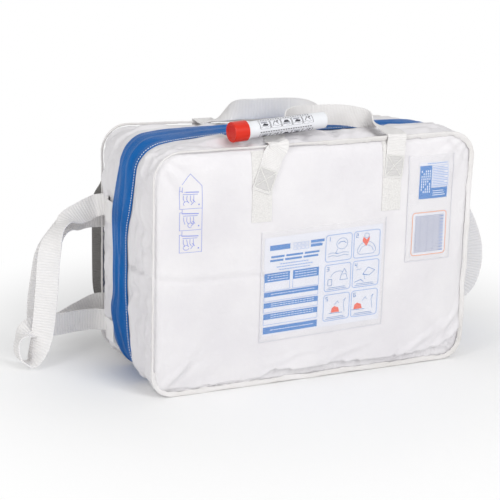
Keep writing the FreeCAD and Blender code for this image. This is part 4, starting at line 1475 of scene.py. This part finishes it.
def end_loop_routes():
    """Routes of the front left loop, the rear left loop and the right loop."""
    up, down = 1, 0
    front = loop_route(-1, 340, 77, [
        (12, 17, up, -2, (0, 0, 1)), (24, 11, up, -7, (0, 0.1, 1)), (55, 18, up, -17, (0.3, 0.65, 0.7)),
        (80, 26, up, -22, (0.3, 0.85, 0.4)), (100, 37, up, -30, (0.1, 0.98, 0.1)),
        (118, 44, up, -50, (-0.4, 0.9, -0.1)), (134, 51, up, -92, (-0.87, 0.46, 0)),
        (142, 56, up, -166, (-0.9, 0.43, 0)), (150, 56, down, 18, (-0.88, 0.48, 0)),
        (160, 57, down, -31, (-0.7, 0.72, 0)), (179, 56, down, -66, (-0.25, 0.96, -0.05)),
        (201, 51, down, -58, (0, 1, -0.12)), (208, 45, down, -34, (0.02, 0.97, -0.2)),
        (199, 41, down, -10, (0.15, 0.98, 0.05)), (176, 34, down, 2, (0.1, 0.8, 0.55)),
        (143, 25, down, 4, (0, 0.35, 0.93)), (108, 20, down, 1, (0, 0.1, 1)),
        (67, 16, down, 2, (0, 0, 1)), (28, 14, down, 2, (0, 0, 1)), (12, 17, down, 0, (0, 0, 1))])
    upper, lower = 303.0, 104.0
    rear_free = [
        (4, -16, up, 0, (0, 0, 1)), (30, -13, up, 1, (0, 0, 1)), (58, -2, up, 1, (0.15, 0.5, 0.85)),
        (83, 6, up, -4, (0, 0.85, 0.5)), (107, 15, up, -21, (-0.45, 0.85, 0.1)),
        (133, 22, up, -64, (-0.87, 0.46, 0)), (143, 25, up, -109, (-0.9, 0.43, 0)),
        (147, 8, down, 26, (-0.9, 0.43, -0.1)), (141, -12, down, -27, (-0.75, 0.5, -0.45)),
        (121, -20, down, -47, (-0.35, 0.3, -0.9)), (91, -19, down, -37, (-0.1, 0.1, -1)),
        (52, -16, down, -18, (0, 0, -1)), (10, -17, down, -2, (0, 0, -1))]
    rear = [laid_on_panel(1, out - HALF_LENGTH, upper, SEWN, 90) for out in (70, 46, 24)]
    rear += [(beside(-1, out, seam, (upper if high else lower) + rise), Vector(across))
             for out, seam, high, rise, across in rear_free]
    rear += turned_over([laid_on_panel(1, out - HALF_LENGTH, lower, SEWN, 90) for out in (22, 46, 70)])
    right = loop_route(1, 340, 77, [
        (12, 17, up, -2, (0, 0, 1)), (24, 11, up, -9, (0, 0, 1)), (66, 18, up, -24, (0.1, -0.2, 0.97)),
        (112, 32, up, -48, (0.4, -0.4, 0.8)), (150, 47, up, -88, (0.8, -0.42, 0.4)),
        (171, 60, up, -140, (0.9, -0.43, 0.05)), (177, 69, up, -184, (0.9, -0.43, 0)),
        (171, 73, down, 34, (0.88, -0.4, -0.2)), (152, 68, down, -6, (0.6, -0.3, -0.7)),
        (112, 50, down, -24, (0.2, -0.15, -0.96)), (66, 28, down, -16, (0, 0, -1)),
        (26, 12, down, -2, (0, 0, -1)), (12, 17, down, 0, (0, 0, -1))])
    return front, rear, right


def rear_strap_route(side):
    """Route of an upright strap of the rear panel."""
    x, sewn_x, top, foot, out = side * 345.0, side * 326.0, 440.0, ring_foot(0.3), HALF_DEPTH + CROWN
    bulge = 44.0
    middle = (x + sewn_x) / 2
    return [
        laid_on_panel(1, sewn_x, top, SEWN + 0.5),
        laid_on_panel(1, sewn_x, ring_top(1, sewn_x, 0.6), SEWN + 0.5),
        (Vector((middle, out + 10, top - 62)), ACROSS_X),
        (Vector((x, out + 0.8 * bulge, top - 100)), ACROSS_X),
        (Vector((x, out + bulge, top - 150)), ACROSS_X),
        (Vector((x, out + bulge, foot + 130)), ACROSS_X),
        (Vector((x, out + 0.8 * bulge, foot + 80)), ACROSS_X),
        (Vector((middle, out + 17, foot + 40)), ACROSS_X),
        laid_on_panel(1, sewn_x, foot, SEWN + 1),
        laid_on_panel(1, sewn_x, ring_foot(0.12), SEWN + 1),
    ]


# --- Document tube

TUBE_START = Vector((-187.0, -125.0, 540.5))
TUBE_AXIS = Vector((220.0, 30.0, 6.0)).normalized()
WRAP_START = 60
WRAP_END = 186
PICTURE_STEP = 26


def on_tube(radius):
    """Place function of the tube's wrap: x mm along its axis, z degrees round it."""
    side = TUBE_AXIS.cross(ACROSS_Z).normalized()
    up = side.cross(TUBE_AXIS)

    def place(x, z):
        turn = math.radians(z)
        return TUBE_START + TUBE_AXIS * x + (side * math.cos(turn) + up * math.sin(turn)) * radius
    return place


def tube_print(finish, grey):
    """Small generic pictures and fields round the tube's wrap."""
    dark, soft = [], []
    for start in range(-180, 180, 90):
        for k in range(WRAP_START, WRAP_END, 6):
            dark += bar(k, start + 73, 3.4, 7, 6)
        for index in range(5):
            x = WRAP_START + index * PICTURE_STEP
            dark += stroke(rounded(x, start + 8, 24, 56, 4), 0.9, closed=True)
            dark += stroke(shifted(x, start, (2, 20), (8, 26), (15, 18), (22, 24)), 1.2)
            if index % 3 == 0:
                dark += blob(shifted(x, start, (5, 30), (18, 26), (20, 38), (11, 46)))
                soft += bar(x + 4, start + 48, 15, 9, 6)
            elif index % 3 == 1:
                dark += stroke(shifted(x, start, (5, 30), (11, 56), (18, 32)), 1.6)
                dark += disc(x + 17, start + 52, 2.2, 6)
            else:
                dark += blob(shifted(x, start, (4, 34), (20, 34), (16, 52), (9, 52)))
                soft += bar(x + 3, start + 26, 17, 5, 6)
    printed("wrap_pictures", dark, on_tube(17.62), finish, 0.1)
    printed("wrap_lines", soft, on_tube(17.6), grey, 0.1)


# --- Operators


class VALISE_OT_shell(bpy.types.Operator):
    """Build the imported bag's folded skin."""

    bl_idname = "valise.shell"
    bl_label = "Bag"

    def execute(self, context):
        valise_shell(context.scene.valise_cloth)
        return {"FINISHED"}


class VALISE_OT_band(bpy.types.Operator):
    """Build the closure band and its stitch line."""

    bl_idname = "valise.band"
    bl_label = "Closure band"

    def execute(self, context):
        closure_band(context.scene.valise_cloth)
        return {"FINISHED"}


class VALISE_OT_piping(bpy.types.Operator):
    """Build the two piped seams."""

    bl_idname = "valise.piping"
    bl_label = "Piped seams"

    def execute(self, context):
        settings = context.scene.valise_cloth
        finish = coated_cloth("Piping cloth", settings.piping, 0.6, 5200.0, rgb("#cfcbc4"), 0.0012)
        for side in (-1, 1):
            piping(side, finish)
        return {"FINISHED"}


class VALISE_OT_patches(bpy.types.Operator):
    """Build the fuzzy patches."""

    bl_idname = "valise.patches"
    bl_label = "Patches"

    def execute(self, context):
        sewn_patches(fuzzy("Loop pile", rgb("#f4f2f0")))
        return {"FINISHED"}


class VALISE_OT_cards(bpy.types.Operator):
    """Build the cards, their print, their clear pockets and the arrow print."""

    bl_idname = "valise.cards"
    bl_label = "Cards and pockets"

    def execute(self, context):
        settings = context.scene.valise_print
        colors = (paper("Blue print", settings.blue), paper("Pale blue print", settings.pale),
                  paper("Orange print", settings.orange), paper("White print", rgb("#dfe8f4")))
        pockets_and_cards(colors, clear_film("Clear film"), paper("Card stock", rgb("#e3e4ec")))
        arrow_print(paper("Cloth print", rgb("#8b97dd")))
        return {"FINISHED"}


class VALISE_OT_handles(bpy.types.Operator):
    """Build the two carrying handles."""

    bl_idname = "valise.handles"
    bl_label = "Carrying handles"

    def execute(self, context):
        settings = context.scene.valise_webbing
        width = settings.handle_width
        finish = woven("Handle webbing", settings.white, width)
        ribbon("front_handle_strap", front_handle_route(), width / MM, finish,
               replaces=("front_handle",))
        ribbon("rear_handle_strap", rear_handle_route(), width / MM, finish,
               replaces=("rear_handle",))
        return {"FINISHED"}


class VALISE_OT_loops(bpy.types.Operator):
    """Build the loops of both ends."""

    bl_idname = "valise.loops"
    bl_label = "End loops"

    def execute(self, context):
        settings = context.scene.valise_webbing
        width = settings.loop_width
        finish = woven("Loop webbing", settings.white, width, 1050.0, stitched=False)
        names = ("left_loop_front", "left_loop_rear", "right_loop")
        for name, route in zip(names, end_loop_routes()):
            ribbon(name + "_strap", route, width / MM, finish, replaces=(name,))
        return {"FINISHED"}


class VALISE_OT_rear_straps(bpy.types.Operator):
    """Build the upright straps of the rear panel."""

    bl_idname = "valise.rear_straps"
    bl_label = "Rear straps"

    def execute(self, context):
        settings = context.scene.valise_webbing
        width = settings.loop_width
        # Painted shade: the straps' mid grey stands in for their shadow; the navy stripe is the webbing's
        # own.
        finish = woven("Shade grey webbing", settings.grey, width, 1500.0, stripe=rgb("#22365c"))
        for side, name in ((-1, "rear_strap_left"), (1, "rear_strap_right")):
            ribbon(name + "_webbing", rear_strap_route(side), width / MM, finish, replaces=(name,))
        return {"FINISHED"}


class VALISE_OT_tube(bpy.types.Operator):
    """Finish the document tube, its cap, wrap and rolled card."""

    bl_idname = "valise.tube"
    bl_label = "Document tube"

    def execute(self, context):
        settings = context.scene.valise_print
        finishes = {
            "document_tube": moulded("White tube plastic", rgb("#eceef2"), 0.3, Coat_Weight=0.3),
            "tube_cap": moulded("Red cap plastic", settings.cap, 0.34, Specular_IOR_Level=0.35),
            "tube_label": paper("Wrap paper", rgb("#e9eaef"), 0.3),
            "rolled_card": paper("Rolled card", rgb("#f0efe9"), 0.6),
        }
        for node, finish in finishes.items():
            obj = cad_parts[node]
            obj.data.materials.clear()
            obj.data.materials.append(finish)
        tube_print(paper("Wrap ink", rgb("#34343c")), paper("Wrap grey", rgb("#9a9ca6")))
        return {"FINISHED"}


FLOOR_SIZE = 14
WHITE_FROM = 0.3
WHITE_AT = 0.95
FLOOR_TINT = (0.95, 0.95, 0.95)
SENSOR = 36
CAMERA_PLACE = Vector((-1.38209, -2.88325, 1.19411))
CAMERA_RIGHT = Vector((0.914413, -0.403973, 0.025589))
CAMERA_UP = Vector((0.093446, 0.272184, 0.957697))
# Name, place, aim and size in m, and share of the key light's power
LAMPS = (("key", (0.7, -2.9, 2.1), (0, 0, 0.25), 1.5, 2.05),
         ("side", (-2.8, -1.3, 1.5), (0, 0, 0.25), 1.2, 1.0),
         ("top", (0.4, 0.2, 3.2), (0, 0, 0.3), 2.0, 0.25))


def seen_rays(nodes, links):
    """1 for camera, gloss and transmission rays, 0 for the rest."""
    path = nodes.new("ShaderNodeLightPath")
    return math_node(nodes, links, "MAXIMUM", path.outputs["Is Camera Ray"], math_node(
        nodes, links, "MAXIMUM", path.outputs["Is Glossy Ray"], path.outputs["Is Transmission Ray"]))


def pale_floor():
    """Floor that takes the bag's shadow and fades to white round it."""
    clear_selection()
    bpy.ops.mesh.primitive_plane_add(size=FLOOR_SIZE, location=(0, 0, 0))
    floor = bpy.context.object
    floor.name = "floor"
    material, nodes, links, shader = plain("Pale floor", FLOOR_TINT, 0.85)
    vector = object_vector(nodes)
    soiled(nodes, links, shader, vector, FLOOR_TINT, (0.93, 0.93, 0.93), 0.6, 0.5)
    reach = nodes.new("ShaderNodeVectorMath")
    reach.operation = "LENGTH"
    links.new(vector, reach.inputs[0])
    away = nodes.new("ShaderNodeMapRange")
    away.interpolation_type = "SMOOTHSTEP"
    away.inputs["From Min"].default_value = WHITE_FROM
    away.inputs["From Max"].default_value = WHITE_AT
    links.new(reach.outputs["Value"], away.inputs["Value"])
    seen = seen_rays(nodes, links)
    white = nodes.new("ShaderNodeEmission")
    blend = nodes.new("ShaderNodeMixShader")
    links.new(math_node(nodes, links, "MULTIPLY", seen, away.outputs["Result"]), blend.inputs[0])
    links.new(shader.outputs[0], blend.inputs[1])
    links.new(white.outputs[0], blend.inputs[2])
    links.new(blend.outputs[0], nodes["Material Output"].inputs["Surface"])
    floor.data.materials.append(material)


def aimed_lamps(power):
    """Area lamps, each turned to the bag."""
    for name, place, aim, size, share in LAMPS:
        bpy.ops.object.light_add(type="AREA", location=place)
        lamp = bpy.context.object
        lamp.name = name
        lamp.data.size = size
        lamp.data.energy = power * share
        direction = Vector(aim) - Vector(place)
        lamp.rotation_euler = direction.to_track_quat("-Z", "Y").to_euler()


def studio_world(scene, strength):
    """Even light all round, seen as white."""
    world = bpy.data.worlds.new("Studio")
    scene.world = world
    world.use_nodes = True
    nodes, links = world.node_tree.nodes, world.node_tree.links
    even = nodes["Background"]
    even.inputs["Color"].default_value = (1, 1, 1, 1)
    even.inputs["Strength"].default_value = strength
    white = nodes.new("ShaderNodeBackground")
    white.inputs["Strength"].default_value = 1.0
    white.inputs["Color"].default_value = (1, 1, 1, 1)
    mix = nodes.new("ShaderNodeMixShader")
    links.new(seen_rays(nodes, links), mix.inputs[0])
    links.new(even.outputs[0], mix.inputs[1])
    links.new(white.outputs[0], mix.inputs[2])
    links.new(mix.outputs[0], nodes["World Output"].inputs["Surface"])


def aimed_camera(scene, lens):
    """Camera at the photograph's place, turned by its own axes."""
    bpy.ops.object.camera_add(location=CAMERA_PLACE)
    camera = bpy.context.object
    camera.name = "camera"
    back = CAMERA_RIGHT.cross(CAMERA_UP)
    turn = Matrix((CAMERA_RIGHT, CAMERA_UP, back)).transposed()
    camera.rotation_euler = turn.to_euler()
    camera.data.sensor_width = SENSOR
    camera.data.lens = lens
    camera.data.clip_end = 60
    scene.camera = camera


class VALISE_OT_stage(bpy.types.Operator):
    """Build the floor, lamps, world and camera."""

    bl_idname = "valise.stage"
    bl_label = "Studio"

    def execute(self, context):
        settings = context.scene.valise_stage
        pale_floor()
        aimed_lamps(settings.key)
        studio_world(context.scene, settings.sky)
        aimed_camera(context.scene, settings.lens)
        context.scene.view_settings.view_transform = "Standard"
        return {"FINISHED"}


OPERATORS = (VALISE_OT_stage, VALISE_OT_shell, VALISE_OT_band, VALISE_OT_piping,
             VALISE_OT_patches, VALISE_OT_cards, VALISE_OT_handles, VALISE_OT_loops,
             VALISE_OT_rear_straps, VALISE_OT_tube)


class VALISE_PT_panel(bpy.types.Panel):
    """Settings and pieces of the valise."""

    bl_idname = "VALISE_PT_panel"
    bl_label = "Liferaft valise"
    bl_space_type = "VIEW_3D"
    bl_region_type = "UI"
    bl_category = "Valise"

    def draw(self, context):
        scene = context.scene
        for settings in (scene.valise_cloth, scene.valise_webbing, scene.valise_print,
                         scene.valise_stage):
            box = self.layout.box()
            for name in settings.__annotations__:
                box.prop(settings, name)
        for operator in OPERATORS:
            self.layout.operator(operator.bl_idname)


PROPERTIES = dict(zip(("valise_cloth", "valise_webbing", "valise_print", "valise_stage"), GROUPS))


def register():
    """Register the settings, operators and panel."""
    for group in (*GROUPS, *OPERATORS, VALISE_PT_panel):
        bpy.utils.register_class(group)
    for name, group in PROPERTIES.items():
        setattr(bpy.types.Scene, name, bpy.props.PointerProperty(type=group))


def unregister():
    """Remove the settings, operators and panel."""
    for name in PROPERTIES:
        delattr(bpy.types.Scene, name)
    for group in reversed((*GROUPS, *OPERATORS, VALISE_PT_panel)):
        bpy.utils.unregister_class(group)


def main():
    """Build every piece in order."""
    register()
    bpy.ops.valise.stage()
    bpy.ops.valise.shell()
    bpy.ops.valise.band()
    bpy.ops.valise.piping()
    bpy.ops.valise.patches()
    bpy.ops.valise.cards()
    bpy.ops.valise.handles()
    bpy.ops.valise.loops()
    bpy.ops.valise.rear_straps()
    bpy.ops.valise.tube()


if __name__ == "__main__":
    main()
